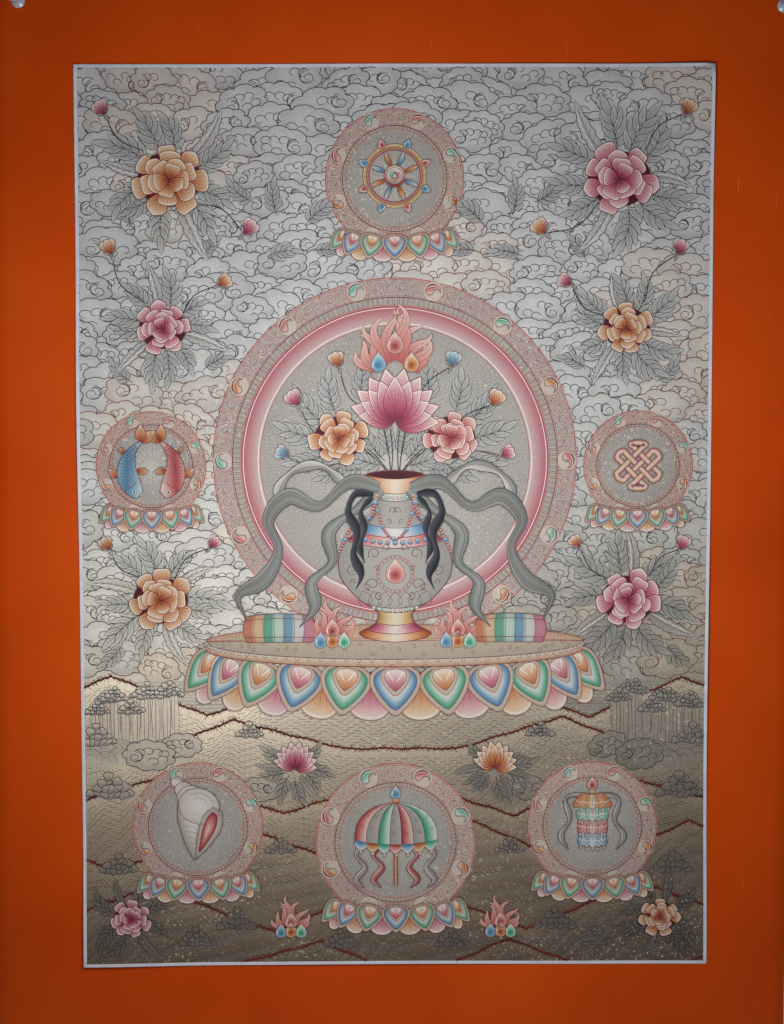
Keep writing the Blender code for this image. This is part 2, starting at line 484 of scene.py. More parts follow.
# A stroke gets a new edge after turning this far, or after this many millimetres
TURN_PER_STEP = 0.24
LONGEST_STEP = 3
# A line lies this many millimetres above the fill that it is drawn on
LINE_RISE = 0.02


def brush(name, points, width, height, ends=0.3, step=0.9):
    """A brush stroke, cut where it is covered, thinning at each end to a share of its width.

    The share is one number for both ends, or one for each.
    """
    points = stations(points, step)
    along = shares(len(points))
    begin, end = np.broadcast_to(ends, 2)
    thin = np.minimum(1, np.minimum(begin + 4 * along, end + 4 * (1 - along)))
    side = leftward(points)
    turn = np.abs(np.diff(np.unwrap(np.arctan2(*side.T)), prepend=np.arctan2(*side[0])))
    side = side * (0.5 * width * thin)[:, None]
    pace = np.floor(np.cumsum(turn / TURN_PER_STEP + step / LONGEST_STEP))
    free = board.free(points)
    edge = np.flatnonzero(np.diff(np.concatenate([[0], free.view(np.int8), [0]])))
    for start, stop in zip(edge[::2], edge[1::2]):
        if stop - start > 1:
            keep = np.diff(pace[start:stop], prepend=-1) > 0
            keep[-1] = True
            run = np.arange(start, stop)[keep]
            strokes.setdefault(name, []).append((points[run] + side[run], points[run] - side[run], height))


def brush_each(name, lines, width, height, ends=0.3, step=0.9):
    """The same brush stroke along each of several lines."""
    for line in lines:
        brush(name, line, width, height, ends, step)


def stroke_piece(ink_name, material):
    """All the strokes of one ink as one mesh: a strip of quads along each stroke."""
    points, faces, heights, start = [], [], [], 0
    for left, right, height in strokes[ink_name]:
        count = len(left)
        points += [left, right]
        index = start + np.arange(count - 1)
        faces.append(np.stack([index, index + count, index + count + 1, index + 1], 1))
        heights.append(np.full(2 * count, height))
        start += 2 * count
    flat = np.concatenate(points)
    points = lay(flat, np.concatenate(heights))
    return piece(ink_name + "_lines", points, np.concatenate(faces), [material], canvas_uv(flat))


def blend(stops, value):
    """The colour at each value between (place, colour) stops."""
    places = [place for place, _ in stops]
    table = np.array([rgb(colour) for _, colour in stops])
    return np.stack([np.interp(value, places, table[:, i]) for i in range(3)], -1)


def facing(flat, faces):
    """The faces turned to the viewer: the other way round where most of them run clockwise."""
    a, b = (flat[faces[:, k]] - flat[faces[:, 0]] for k in (1, 2))
    return faces if (a[:, 0] * b[:, 1] - a[:, 1] * b[:, 0]).sum() >= 0 else faces[:, ::-1]


def patch(kind, carry, outline, key, stops, height, heart=None, rings=4):
    """A fill of pigment in rings from a heart out to the outline, coloured by a key on the local points.

    With no key the colours run from the heart to the outline.
    """
    outline = np.asarray(outline, float)
    heart = outline.mean(0) if heart is None else np.asarray(heart, float)
    reach = shares(rings + 1)[1:, None, None]
    local = np.concatenate([heart[None], (heart + reach * (outline - heart)).reshape(-1, 2)])
    count = len(outline)
    around = np.arange(count)
    after = np.roll(around, -1)
    fan = np.stack([np.zeros(count, int), 1 + around, 1 + after], 1)
    faces = [fan]
    for ring in range(rings - 1):
        inner, outer = 1 + ring * count, 1 + (ring + 1) * count
        faces.append(np.stack([inner + around, outer + around, outer + after], 1))
        faces.append(np.stack([inner + around, outer + after, inner + after], 1))
    faces = np.concatenate(faces)
    flat = carry(local)
    share = np.concatenate([[0], np.repeat(reach.ravel(), count)])
    colours = blend(stops, share if key is None else key(local))
    patches[kind].append((flat, facing(flat, faces), colours, height))


def panel(kind, grid, colours, height):
    """A fill of pigment over a grid of points, with a colour for each point."""
    rows, columns = grid.shape[:2]
    flat = grid.reshape(-1, 2)
    quads = grid_faces(rows, columns)
    faces = np.concatenate([quads[:, [0, 1, 2]], quads[:, [0, 2, 3]]])
    patches[kind].append((flat, facing(flat, faces), colours.reshape(-1, 3), height))


def strip(kind, left, right, across, stops, height, shade=None):
    """A band of pigment between two lines of equal count, coloured left to right and shaded along them."""
    share = shares(across + 1)
    colours = np.repeat(blend(stops, share)[:, None], len(left), 1)
    if shade is not None:
        colours = colours * shade[None, :, None]
    panel(kind, left + share[:, None, None] * (right - left), colours, height)


def shape(carry, outline, key, stops, height, line="maroon", width=0.45, heart=None, rings=4):
    """A filled shape of a symbol: its outline drawn, its pigment laid and its place covered."""
    brush(line, carry(closed(outline)), width, height + LINE_RISE, 0.8, 0.6)
    patch("symbol", carry, outline, key, stops, height, heart, rings)
    board.claim(carry(outline))


def paint_piece(kind, material, atlas=True):
    """All the fills of one kind as one mesh. In an atlas each fill has its own place, packed in shelves."""
    fills, faces, colours, heights, uvs, start = [], [], [], [], [], 0
    sizes = [np.ptp(flat, axis=0) + 1 for flat, _, _, _ in patches[kind]]
    order = sorted(range(len(sizes)), key=lambda i: -sizes[i][1])
    side = sqrt(1.25 * sum(w * h for w, h in sizes)) + max(max(w, h) for w, h in sizes)
    corner = {}
    x = y = shelf = 0
    for i in order:
        if x + sizes[i][0] > side:
            x, y, shelf = 0, y + shelf, 0
        corner[i] = (x, y)
        x += sizes[i][0]
        shelf = max(shelf, sizes[i][1])
    side = max(side, y + shelf)
    for i, (flat, face, colour, height) in enumerate(patches[kind]):
        fills.append(flat)
        faces.append(face + start)
        colours.append(colour)
        heights.append(np.full(len(flat), height))
        uvs.append((flat - flat.min(0) + 0.5 + corner[i]) / side if atlas else canvas_uv(flat))
        start += len(flat)
    flat = np.concatenate(fills)
    points = lay(flat, np.concatenate(heights))
    places, colours = np.concatenate(uvs), np.concatenate(colours)
    return piece(kind + "_pigment", points, np.concatenate(faces), [material], places, colours)


def spot(x, z, size=1, turn=0, flip=1, stretch=1):
    """A place on the canvas: a function that scales, flips, turns and moves local points there."""
    c, s = cos(turn), sin(turn)

    def carry(points):
        points = np.asarray(points, float) * size
        across, up = points[..., 0] * flip * stretch, points[..., 1]
        return np.stack([x + c * across - s * up, z + s * across + c * up], -1)

    return carry


def circle(radius, start=0, stop=TAU, count=48, centre=(0, 0), stretch=1):
    """Points round an arc: radius times cosine and sine of an even run of angles."""
    return centre + radius * toward(np.linspace(start, stop, count)) * (stretch, 1)


def curl(start, heading, radius, turns, way=1, tightness=0.75, count=26):
    """A spiral that leaves start along heading and winds inwards, its radius shrinking with its angle."""
    angle = np.linspace(0, TAU * turns, count)
    size = radius * (1 - tightness * angle / angle[-1])
    begin = heading - way * QUARTER
    return np.array(start) - radius * toward(begin) + size[:, None] * toward(begin + way * angle)


def smooth_line(points, count):
    """A smooth curve through points: Catmull-Rom, each piece a cubic with slopes from its neighbours."""
    points = np.asarray(points, float)
    padded = np.concatenate([[2 * points[0] - points[1]], points, [2 * points[-1] - points[-2]]])
    where = np.linspace(0, len(points) - 1 - 1e-9, count)
    i = where.astype(int)
    t = (where - i)[:, None]
    a, b, c, d = padded[i], padded[i + 1], padded[i + 2], padded[i + 3]
    return 0.5 * (2 * b + (c - a) * t + (2 * a - 5 * b + 4 * c - d) * t**2 + (3 * b - a - 3 * c + d) * t**3)


# Motifs, each in its own millimetres or in a unit that its place scales

PINKS = ((0, "#7E2340"), (0.28, "#BE5674"), (0.62, "#DE97A3"), (0.86, "#EFCFCC"), (1, "#F6E9E2"))
ROSES = ((0, "#93303F"), (0.3, "#CC6A6C"), (0.65, "#E6ABA2"), (1, "#F5E0D6"))
ORANGES = ((0, "#93401C"), (0.3, "#CF7A45"), (0.62, "#E5AE83"), (0.86, "#F1D5B7"), (1, "#F7EBD8"))
GREENS = ((0, "#2B9475"), (0.3, "#5FB99C"), (0.65, "#B9DECB"), (1, "#F0EEE4"))
BLUES = ((0, "#3A7BAA"), (0.3, "#6AA3C3"), (0.65, "#B9D2DE"), (1, "#F0F0EC"))
SKIES = ((0, "#3F7FA6"), (0.5, "#7FB2CC"), (1, "#CFE3EC"))
GOLDS = ((0, "#B9854A"), (0.5, "#E0BE8B"), (1, "#F3E7CB"))
CREAMS = ((0, "#A5A29D"), (0.5, "#B4B2AD"), (1, "#C0BEB8"))
INKS_BLACK = ((0, "#14161E"), (0.5, "#2E3440"), (1, "#565D69"))
SILVERS = ((0, "#8E8A8B"), (0.5, "#C7C4C2"), (1, "#E8E6E2"))
PEARLS = ((0, "#AFA69C"), (0.4, "#DDD6CC"), (1, "#F7F4EE"))
PLUM = ((0, "#4A1524"), (1, "#5E2030"))
CREAM_EDGE = ((0, "#D9CFBE"), (0.8, "#DED4C4"), (1, "#C8B6A2"))
SILK_DARK = ((0, "#747A79"), (0.25, "#A8AAA5"), (0.6, "#888C89"), (1, "#B4B3AC"))
SILK_LIGHT = ((0, "#8A9491"), (0.5, "#B1B3AC"), (1, "#737C7B"))


def flipped(stops):
    """The same run of colours the other way round."""
    return tuple((1 - place, colour) for place, colour in reversed(stops))


def up_key(points):
    """How far up the unit shape a point lies."""
    return points[:, 1]


def round_petal(lobes, notch, count=44):
    """A petal one unit long: narrow at its base, wide near its tip, its rim drawn in between lobes."""
    phi = np.linspace(0, TAU, count, endpoint=False)
    lift = 0.5 * (1 - np.cos(phi))
    rim = 1 - notch * lift**2 * np.abs(np.cos(lobes * (phi - pi) * 0.5 + QUARTER * (lobes % 2 == 0)))
    across = 0.5 * np.sin(phi) * (0.34 + 0.78 * lift)
    return pair(across * rim, lift * (0.5 + 0.5 * rim))


def pointed_petal(belly, count=36):
    """A lotus petal one unit long: two bowed sides that meet in a point."""
    taper = 0.25
    share = shares(count // 2 + 1)
    across = 0.5 * np.sin(pi * share**(0.6 + 0.4 * belly)) ** 0.85 * (1 - taper * share)
    side = pair(across, share)
    return np.concatenate([side, side[-2:0:-1] * (-1, 1)])


def petal(carry, outline, stops, height, rays=5, width=0.45, kind="flower"):
    """One petal: fine rays, a light inside its rim, its outline and its fill, and its place covered."""
    above = height + LINE_RISE
    for share in np.linspace(-0.62, 0.62, rays):
        ray = np.array([[0, 0.1], [0.2 * share, 0.38], [0.62 * share, 0.8 - 0.12 * abs(share)]])
        brush("maroon", carry(smooth_line(ray, 12)), 0.26, above, (0.9, 0.1))
    rim = outline[outline[:, 1] > 0.55]
    brush("white", carry((rim - (0, 0.5)) * 0.9 + (0, 0.5)), 0.34, above, 0.3, 0.6)
    brush("maroon", carry(closed(outline)), width, above, 0.8)
    patch(kind, carry, outline, up_key, stops, height, (0, 0.45))
    board.claim(carry(outline))


PEONY_TILT = 0.86
PETAL_RINGS = (
    # petals, start, length and width as shares of the flower's radius, rise in mm
    (3, 0.02, 0.4, 0.42, 0.1),
    (5, 0.08, 0.46, 0.48, 0.075),
    (6, 0.2, 0.54, 0.5, 0.05),
    (7, 0.38, 0.62, 0.52, 0.025),
)


def peony(x, z, radius, stops, turn):
    """A full peony: a closed heart, then rings of lobed petals out to the rim, on a dark maroon ground."""
    for ring, (count, start, length, width, rise) in enumerate(PETAL_RINGS):
        for k in range(count):
            angle = turn + TAU * (k + 0.37 * count) / count + rng.normal(0, 0.09)
            long = radius * length * rng.uniform(0.88, 1.12)
            root = (x, z) + radius * start * toward(angle) * (1, PEONY_TILT)
            lean = angle - QUARTER + rng.normal(0, 0.16)
            carry = spot(*root, long, lean, 1, 1.25 * width / length)
            petal(carry, round_petal(3 + (k + ring) % 3, 0.15), stops, FLOWERS + rise + 0.012 * (k % 2))
    under = spot(x, z, radius)
    ground = circle(0.8, count=40) * (1, PEONY_TILT)
    patch("flower", under, ground, distance, PLUM, FLOWERS)
    board.claim(under(ground))


def leaf(x, z, heading, length, width, bend, teeth=5):
    """A long saw-edged leaf: a bent spine, its width a swelling sine with teeth, veins, and a pale light."""
    share = shares(34)
    spine, side = bent((x, z), heading + bend * (share - 0.15), length)
    half = 0.5 * width * np.sin(pi * share**0.75) ** 0.8 * (1 - 0.3 * (teeth * share % 1))
    left, right, outline = band_round(spine, side, half)
    brush_each("soot", (left, right), 0.55, LEAVES, (0.6, 0.2), 0.7)
    brush("soot", spine[1:-1], 0.38, LEAVES, (0.9, 0.1))
    brush("white" if z > -110 else "grey", (0.55 * spine + 0.45 * left)[4:-5], 0.42, LEAVES, (0.2, 0.1))
    for k in range(5, 28, 4):
        for edge in (right, left):
            tip = 0.22 * spine[k + 4] + 0.78 * edge[k + 4]
            brush("grey", [spine[k], 0.5 * (spine[k + 2] + tip), tip], 0.3, LEAVES, (0.8, 0.1), 0.6)
    base = ground_colour(np.array([[x, z]]))[0]
    board.claim(outline, lambda points: base * (0.61 + 0.4 * distance(points, (x, z)) / length)[:, None])


def bud(x, z, size, heading, stops, root):
    """A closed bud on its stem: three petals folded over each other and three small leaves."""
    for lean, wide, rise in ((0, 0.62, 0.03), (0.38, 0.62, 0.015), (-0.38, 0.62, 0)):
        carry = spot(x, z, size, heading - QUARTER - lean, 1, wide)
        petal(carry, round_petal(1, 0, 30), stops, FLOWERS + rise, 3, 0.42)
    for lean in (-0.9, 0.9, 0):
        leaf(x, z, heading + lean + pi * (lean == 0), 0.55 * size, 0.26 * size, 0.4 * lean, 2)
    start, end = np.array(root, float), np.array([x, z], float)
    away = end - start
    side = 0.16 * away[::-1] * (-1, 1)
    stem = smooth_line([start, 0.5 * (start + end) + side, end], 30)
    brush("soot", stem, 0.9, LEAVES, (0.9, 0.6))


def leaf_spray(x, z, start, reach, count, spread, heading):
    """Leaves that fan out from a ring round a flower: compound ones and a few long saw-edged ones."""
    for k in range(count):
        angle = heading + spread * ((k + 0.5) / count - 0.5) + rng.normal(0, 0.06)
        long = reach * rng.uniform(0.8, 1.15)
        root = (x, z) + start * toward(angle)
        bend = rng.choice((-1, 1)) * rng.uniform(0.2, 0.8)
        if k % 4 == 1:
            leaf(*root, angle, 1.05 * long, 0.22 * long + 1.5, bend)
        else:
            frond(*root, angle, long, bend, 4 if long > 30 else 3)


def fine_rays(x, z, inner, outer, count, pitch):
    """Fine rays from a centre: every other one whole and a little swayed, the rest in short dashes."""
    sway = 0.4
    radius = np.linspace(inner, outer, max(int((outer - inner) / 0.8), 8))
    for k in range(count):
        run = radius[0 if k % 4 == 0 else len(radius) // 3:]
        off = sway * np.sin(TAU * run / pitch + 1.7 * (k % 2)) / run
        ray = (x, z) + run[:, None] * toward(TAU * k / count + off)
        if k % 2:
            for dash in range(k % 3, len(run) - 3, 4):
                brush("grey", ray[dash:dash + 3], 0.32, LINES, 0.9)
        else:
            brush("sand", ray, 0.36, LINES, (0.5, 0.6))


def field(x, z, radius):
    """A round cream field washed from its centre to its rim."""
    rim = circle(radius, count=180, centre=(x, z))
    board.claim(rim, lambda points: blend(CREAMS, 1 - distance(points, (x, z)) / radius))


def wrap(x, z, radius):
    """Bends a flat band round a circle: along becomes the angle times the radius, up becomes outwards."""
    def carry(points):
        points = np.asarray(points, float)
        return (x, z) + (radius + points[..., 1:]) * toward(QUARTER - points[..., 0] / radius)
    return carry


def comma_jewel(carry, stops, size):
    """A comma jewel: a round head that runs into a curved tail, shaded from its back to its hollow side."""
    back = carry(circle(size, pi, 0, 25))
    front = carry(np.concatenate([
        circle(0.5 * size, pi, TAU, 13, (-0.5 * size, 0)),
        circle(0.5 * size, pi, 0, 13, (0.5 * size, 0))[1:],
    ]))
    brush("white", back + 0.18 * (front - back), 0.4, BANDS + 0.05, 0, 0.5)
    brush_each("maroon", (back, front), 0.42, BANDS + 0.05, 0.8, 0.5)
    strip("flower", back, front, 4, stops, BANDS + 0.03)
    board.claim(between(back, front))


def scroll_ring(x, z, inner, outer, jewels):
    """A ring of vine scrolls between two double lines, with comma jewels set in it at even angles."""
    middle, half = 0.5 * (inner + outer), 0.5 * (outer - inner)
    carry = wrap(x, z, middle)
    length = TAU * middle
    palette = (ROSES, GREENS, ORANGES)
    for k in range(jewels):
        place = length * (k + 0.5) / jewels
        shifted = lambda points, place=place: carry(np.asarray(points) + (place, 0))
        comma_jewel(shifted, palette[k % 3], 0.78 * half)
        disc = shifted(circle(1.08 * half, count=40))
        brush("red", disc, 0.42, LINES, 1)
        board.claim(disc, "#CBBFB4")
    cells = 2 * int(round(length / (2.6 * half)))
    cell = length / cells
    for k in range(cells):
        way = 1 if k % 2 else -1
        begin = np.array([cell * k, -way * 0.35 * half])
        brush("red", carry(curl(begin, 0.9 * way, 0.46 * cell, 1.55, way)), 0.42, LINES, (0.9, 0.5), 0.6)
        back = curl(begin + (0.1 * cell, 0), -0.6 * way, 0.24 * cell, 1.1, -way)
        over = curl(begin + (0.5 * cell, way * 0.8 * half), 2.6 * way, 0.2 * cell, 0.9, way)
        brush_each("red", (carry(back), carry(over)), 0.36, LINES)
        dot = np.array([cell * (k + 0.5), way * 0.15 * half])
        brush("grey", carry(circle(0.07 * cell, count=12, centre=dot)), 0.3, LINES, 1, 0.3)
        for across, up, size in ((0.3, 0.8, 0.13), (0.8, 0.62, 0.12), (0.72, -0.78, 0.13), (0.16, 0.52, 0.1)):
            tendril = curl(begin * (1, 0) + (across * cell, way * up * half), 1.7 * k, size * cell, 0.8, way)
            brush("red", carry(tendril), 0.3, LINES, (0.8, 0.4), 0.5)
    for radius, width in ((outer, 0.75), (outer - 1.3, 0.35), (inner, 0.6), (inner + 1.2, 0.35)):
        brush("red", circle(radius, count=240, centre=(x, z)), width, LINES, 1, 1.2)


def ladder_ring(x, z, inner, outer, pitch):
    """A narrow ring of short rungs, two by two, with a thin line inside its inner edge."""
    count = int(TAU * 0.5 * (inner + outer) / pitch)
    for k in range(count):
        rung = np.outer((inner + 1, outer - 0.3), toward(TAU * (k - 0.3 * (k % 2)) / count)) + (x, z)
        brush("sepia", rung, 0.36, LINES, 0.9, 0.8)
    for radius, ink_name, width in ((outer, "maroon", 0.6), (inner + 1, "red", 0.38)):
        brush(ink_name, circle(radius, count=200, centre=(x, z)), width, LINES, 1, 1.2)


def colour_ring(x, z, inner, outer, stops, height):
    """A ring of pigment shaded from its inner to its outer edge, with a thin white line inside each."""
    ring = circle(1, count=220)
    strip("band", ring * inner + (x, z), ring * outer + (x, z), 8, stops, height)
    wide = outer - inner
    for radius, ink_name, width in (
        (inner + 0.12 * wide, "white", 0.5), (outer - 0.1 * wide, "white", 0.5),
        (inner, "red", 0.55), (outer, "red", 0.55),
    ):
        brush(ink_name, circle(radius, count=200, centre=(x, z)), width, height + LINE_RISE, 1, 1.2)


def hooks(carry, places, size, line):
    """A run of small open curls, side by side, each one bowed away from its neighbours' centre."""
    for place, heading in places:
        way = 1 if cos(heading) > 0 else -1
        start = np.array(place) + size * 0.6 * np.array([-way, -0.2])
        hook = curl(start, QUARTER - 0.2 * way, size, rng.uniform(0.62, 0.85), -way, 0.45, 18)
        brush(line, carry(hook), 0.55, LINES, (0.8, 0.35), 0.5)


def cloud_head(x, z, radius, line):
    """A cloud head: a scalloped crown over a round body, with open curls and a double spiral in it."""
    lobes = int(rng.integers(7, 10))
    theta = np.linspace(0, TAU, 120)
    swollen = radius * (0.86 + 0.17 * np.abs(np.sin(0.5 * lobes * theta)) ** 0.62)
    carry = spot(x, z, 1, rng.normal(0, 0.16), rng.choice((-1, 1)), rng.uniform(1.12, 1.4))
    outline = swollen[:, None] * toward(theta) * (1, 0.82)
    brush(line, carry(outline), 0.66, LINES, 0.8, 0.7)
    size = 0.17 * radius + 0.9
    row = [((u * radius, (0.3 - 0.25 * abs(u)) * radius), u) for u in (-0.42, -0.12, 0.24, 0.5)]
    hooks(carry, row[: int(rng.integers(2, 5))], size, line)
    centre = radius * np.array([rng.uniform(-0.62, -0.4), rng.uniform(-0.2, 0.02)])
    for reach, turns in ((0.3, 1.55), (0.4, 0.62)):
        start = centre + (0, reach * radius)
        brush(line, carry(curl(start, 0, reach * radius, turns, -1, 0.8, 34)), 0.55, LINES, (0.6, 0.3), 0.5)
    hooks(carry, [((0.1 * radius, -0.25 * radius), 1), ((0.46 * radius, -0.12 * radius), 0.2)], size, line)
    top = ground_colour(np.array([[x, z]]))[0] * rng.uniform(0.95, 1.04)
    warm = np.array([1.03, 1, 0.95]) if line == "sepia" else np.array([0.97, 1, 1.03])

    def wash(points):
        low = np.clip(0.45 - (points[:, 1] - z) / (1.8 * radius), 0, 1)[:, None]
        out = distance((points - (x, z)) / (1.25, 0.82)) / radius
        return top * warm * (1.09 - 0.24 * low**1.6 - 0.17 * np.clip(out - 0.45, 0, 0.5)[:, None] / 0.5)

    board.claim(carry(outline), wash)


def ground_colour(points):
    """The bare ground: silver-grey above, warmer below, brown-grey at the foot, with a painted sheen that
    pales it to the left and painted shade at the lower right.
    """
    stops = (
        (-353, "#6C6155"), (-250, "#8A7F70"), (-120, "#B0A99C"),
        (40, "#CCCAC5"), (200, "#D0CFCE"), (353, "#C9C6C7"),
    )
    # The pale patch to the left is a painted sheen, and the darker patch at the lower right is painted shade.
    painted_sheen = hump((points[:, 0] + 190) / 240) * hump((points[:, 1] + 130) / 230)
    painted_shade = hump((points[:, 0] - 230) / 260) * hump((points[:, 1] + 240) / 200)
    return blend(stops, points[:, 1]) * (1 + 0.85 * painted_sheen - 0.24 * painted_shade)[:, None]


def clouds(bottom, top):
    """Rows of cloud heads from the lowest, nearest row up, so that each row hides the foot of the next."""
    pitch = 29
    for row in range(int((top - bottom) / (0.56 * pitch)) + 1):
        z = bottom + 0.56 * pitch * row
        columns = int(2 * HALF_W / pitch) + 3
        for k in rng.permutation(columns):
            x = -HALF_W - pitch + (0.5 * (row % 2) + k) * pitch + rng.normal(0, 0.14 * pitch)
            up = z + rng.normal(0, 0.12 * pitch)
            wave = sin(0.031 * x + 0.6) + cos(0.027 * up + 0.011 * x)
            line = "sepia" if wave + rng.normal(0, 0.35) > 0.95 else "soot"
            cloud_head(x, up, pitch * rng.uniform(0.44, 0.66), line)


def leaflet(root, heading, length, width, bend, lift):
    """One small leaf: a bent spine, two bowed sides, one vein, and a wash darkest at its root."""
    share = shares(16)
    spine, side = bent(root, heading + bend * share, length)
    left, right, outline = band_round(spine, side, 0.5 * width * np.sin(pi * share**0.8) ** 0.85)
    brush_each("soot", (left, right), 0.46, LEAVES, (0.6, 0.3), 0.7)
    brush("grey", spine[:-4], 0.3, LEAVES, (0.8, 0.1), 0.8)
    base = lift * ground_colour(np.array([root]))[0] * (0.94, 1, 1.01)

    def wash(points):
        out = np.minimum(distance(points, root) / length, 1)
        return base * (0.61 + 0.28 * out)[:, None]

    board.claim(outline, wash)


def frond(x, z, heading, length, bend, pairs=4):
    """A compound leaf: a bowed stalk with a leaflet at its tip and pairs of leaflets down both sides."""
    angle = heading + bend * shares(pairs + 2)
    stalk, _ = bent((x, z), angle, 0.62 * length)
    leaflet(stalk[-1], angle[-1], 0.4 * length, 0.13 * length, 0.25 * bend, 1.04)
    for k in range(pairs, 0, -1):
        for way in WAYS:
            lean = way * (0.62 + 0.1 * (pairs - k)) + rng.normal(0, 0.05)
            long = length * (0.4 - 0.05 * abs(k - 0.6 * pairs)) * rng.uniform(0.9, 1.1)
            leaflet(stalk[k], angle[k] + lean, long, 0.115 * length, -0.5 * way, rng.uniform(0.94, 1.03))
    brush("soot", smooth_line(stalk, 26), 0.6, LEAVES, (1, 0.5), 0.8)


def ribbon(points, width, stops, height, folds, ends=(0.5, 0.25), line="soot", turns=2.6):
    """A band of silk along a smooth curve, swelling and thinning as it twists, with fold lines along it."""
    spine = stations(smooth_line(points, 90), 1.4)
    share = shares(len(spine))
    thin = np.minimum(1, np.minimum(ends[0] + 5 * share, ends[1] + 5 * (1 - share)))
    half = 0.5 * width * thin * (0.8 + 0.28 * np.sin(TAU * turns * share + 1))
    left, right, outline = band_round(spine, leftward(spine), half)
    brush_each(line, (left, right), 0.52, height + LINE_RISE, 0.8)
    for k, fold in enumerate(folds):
        brush("grey" if k % 2 else line, left + fold * (right - left), 0.34, height + LINE_RISE, 0.2)
    strip("symbol", left, right, 5, stops, height, 0.92 + 0.08 * np.cos(TAU * turns * share + 1))
    board.claim(outline)


def bead(x, z, radius, stops, height):
    """A round bead or pearl, lit from above."""
    shape(spot(x, z, radius), circle(1, count=15)[:-1], lambda p: 0.5 + 0.5 * p[:, 1], stops, height,
          "maroon", 0.34, (0, 0.3), 2)


def jewel(x, z, size, stops, height, turn=0):
    """A wish jewel: a round drop drawn up to a point, with rings of colour and a light."""
    phi = np.linspace(0, TAU, 30, endpoint=False)
    drop = pair(0.5 * np.sin(phi) * np.sqrt(0.5 + 0.5 * np.cos(phi)) ** 0.5, -0.5 * np.cos(phi) + 0.05)
    drop[:, 1] += 0.14 * np.exp(-((phi - pi) / 0.35) ** 2)
    carry = spot(x, z, size, turn)
    brush("white", carry(circle(0.3, 2.2, 3.7, 10, (0, -0.08))), 0.45, height + LINE_RISE, 0.3, 0.5)
    key = lambda p: np.minimum(np.hypot(p[:, 0], p[:, 1] + 0.08) / 0.55, 1)
    shape(carry, drop, key, stops, height, "maroon", 0.42, (0, -0.08), 4)


def flames(x, z, size, tongues, height):
    """Tongues of flame round a jewel: bent, pointed and paler to the tip, the longest in the middle."""
    leans = np.linspace(-1, 1, tongues)
    for k in np.argsort(np.abs(leans)):
        lean = leans[k]
        share = shares(24)
        angle = QUARTER - 0.85 * lean + 0.85 * np.sin(5.2 * share + 1.3 * k) * (0.25 + share)
        root = (x + 0.5 * size * lean, z - 0.3 * size * abs(lean))
        spine, side = bent(root, angle, size * (1.62 - 0.8 * abs(lean)))
        left, right, outline = band_round(spine, side, 0.13 * size * np.sin(pi * (0.3 + 0.7 * share)) ** 0.9)
        for line, width in ((left, 0.42), (right, 0.42), (spine[2:-4], 0.28)):
            brush("red", line, width, height + 0.03, (0.6, 0.4), 0.6)
        rise = 0.002 * (tongues - 2 * abs(k - tongues // 2))
        tone = blend(ROSES, 0.3 + 0.75 * share)
        panel("flower", np.stack([left, spine, right]), np.tile(tone, (3, 1, 1)), height + rise)
        board.claim(outline)


def wavy(outline, waves, depth):
    """An outline with small even scallops along it, pushed out from its centre."""
    phase = np.linspace(0, waves * pi, len(outline), endpoint=False)
    centre = outline.mean(0)
    return centre + (outline - centre) * (1 + depth * np.abs(np.sin(phase)))[:, None]


def lotus_petal(carry, outer, inner, height):
    """A throne petal: a cream curled rim, a bright band that pales inwards, an edging and a heart."""
    line = pointed_petal(0.1, 48)
    line = pair(np.sign(line[:, 0]) * np.abs(2 * line[:, 0]) ** 0.8 * 0.52, line[:, 1])
    for way in WAYS:
        light = smooth_line([(0.02 * way, 0.34), (0.1 * way, 0.22), (0.16 * way, 0.12)], 10)
        brush("white", carry(light), 0.5, height + 0.08, (0.2, 0.8), 0.5)
    heart = (line - (0, 0.5)) * 0.44 + (0, 0.3)
    edging = wavy((line - (0, 0.5)) * 0.56 + (0, 0.33), 22, 0.06)
    band = (line - (0, 0.5)) * 0.86 + (0, 0.47)
    rim = wavy(line, 26, 0.035)
    shown = tuple((0.5 + 0.5 * place, colour) for place, colour in flipped(outer))
    for part, stops, key, rise, ink_name, middle, rings in (
        (heart, inner, lambda p: 1.25 - 1.9 * p[:, 1], 0.04, "maroon", (0, 0.3), 3),
        (edging, CREAM_EDGE, None, 0.027, "red", (0, 0.33), 3),
        (band, shown, None, 0.013, "red", (0, 0.38), 5),
        (rim, CREAM_EDGE, None, 0, "maroon", (0, 0.5), 4),
    ):
        shape(carry, part, key, stops, height + rise, ink_name, 0.4, middle, rings)


def lotus_row(x, z, half, size, count, height):
    """A row of hanging lotus petals round the front of a seat, with the tips of more behind them."""
    drop = 0.1
    palettes = ((GREENS, ORANGES), (BLUES, PINKS))
    turns = np.linspace(-1.3, 1.3, count)
    for k in np.argsort(np.abs(turns)):
        turn = turns[k]
        wide = max(cos(turn), 0.42) ** 0.5
        place = (x + half * sin(turn), z - drop * half * cos(turn))
        outer, inner = palettes[k % 2]
        carry = spot(*place, size, pi + 0.55 * turn, 1, 1.02 * wide)
        lotus_petal(carry, outer, inner, height + 0.04 * (count // 2 - abs(k - count // 2)))
    for k in range(count - 1):
        turn = 0.5 * (turns[k] + turns[k + 1])
        place = (x + half * sin(turn), z - drop * half * cos(turn) - 0.14 * size)
        carry = spot(*place, 0.95 * size, pi + 0.5 * turn, 1, 1.05 * max(cos(turn), 0.5))
        petal(carry, round_petal(1, 0, 40), (PINKS, ORANGES)[k % 2], height - 0.04, kind="symbol")


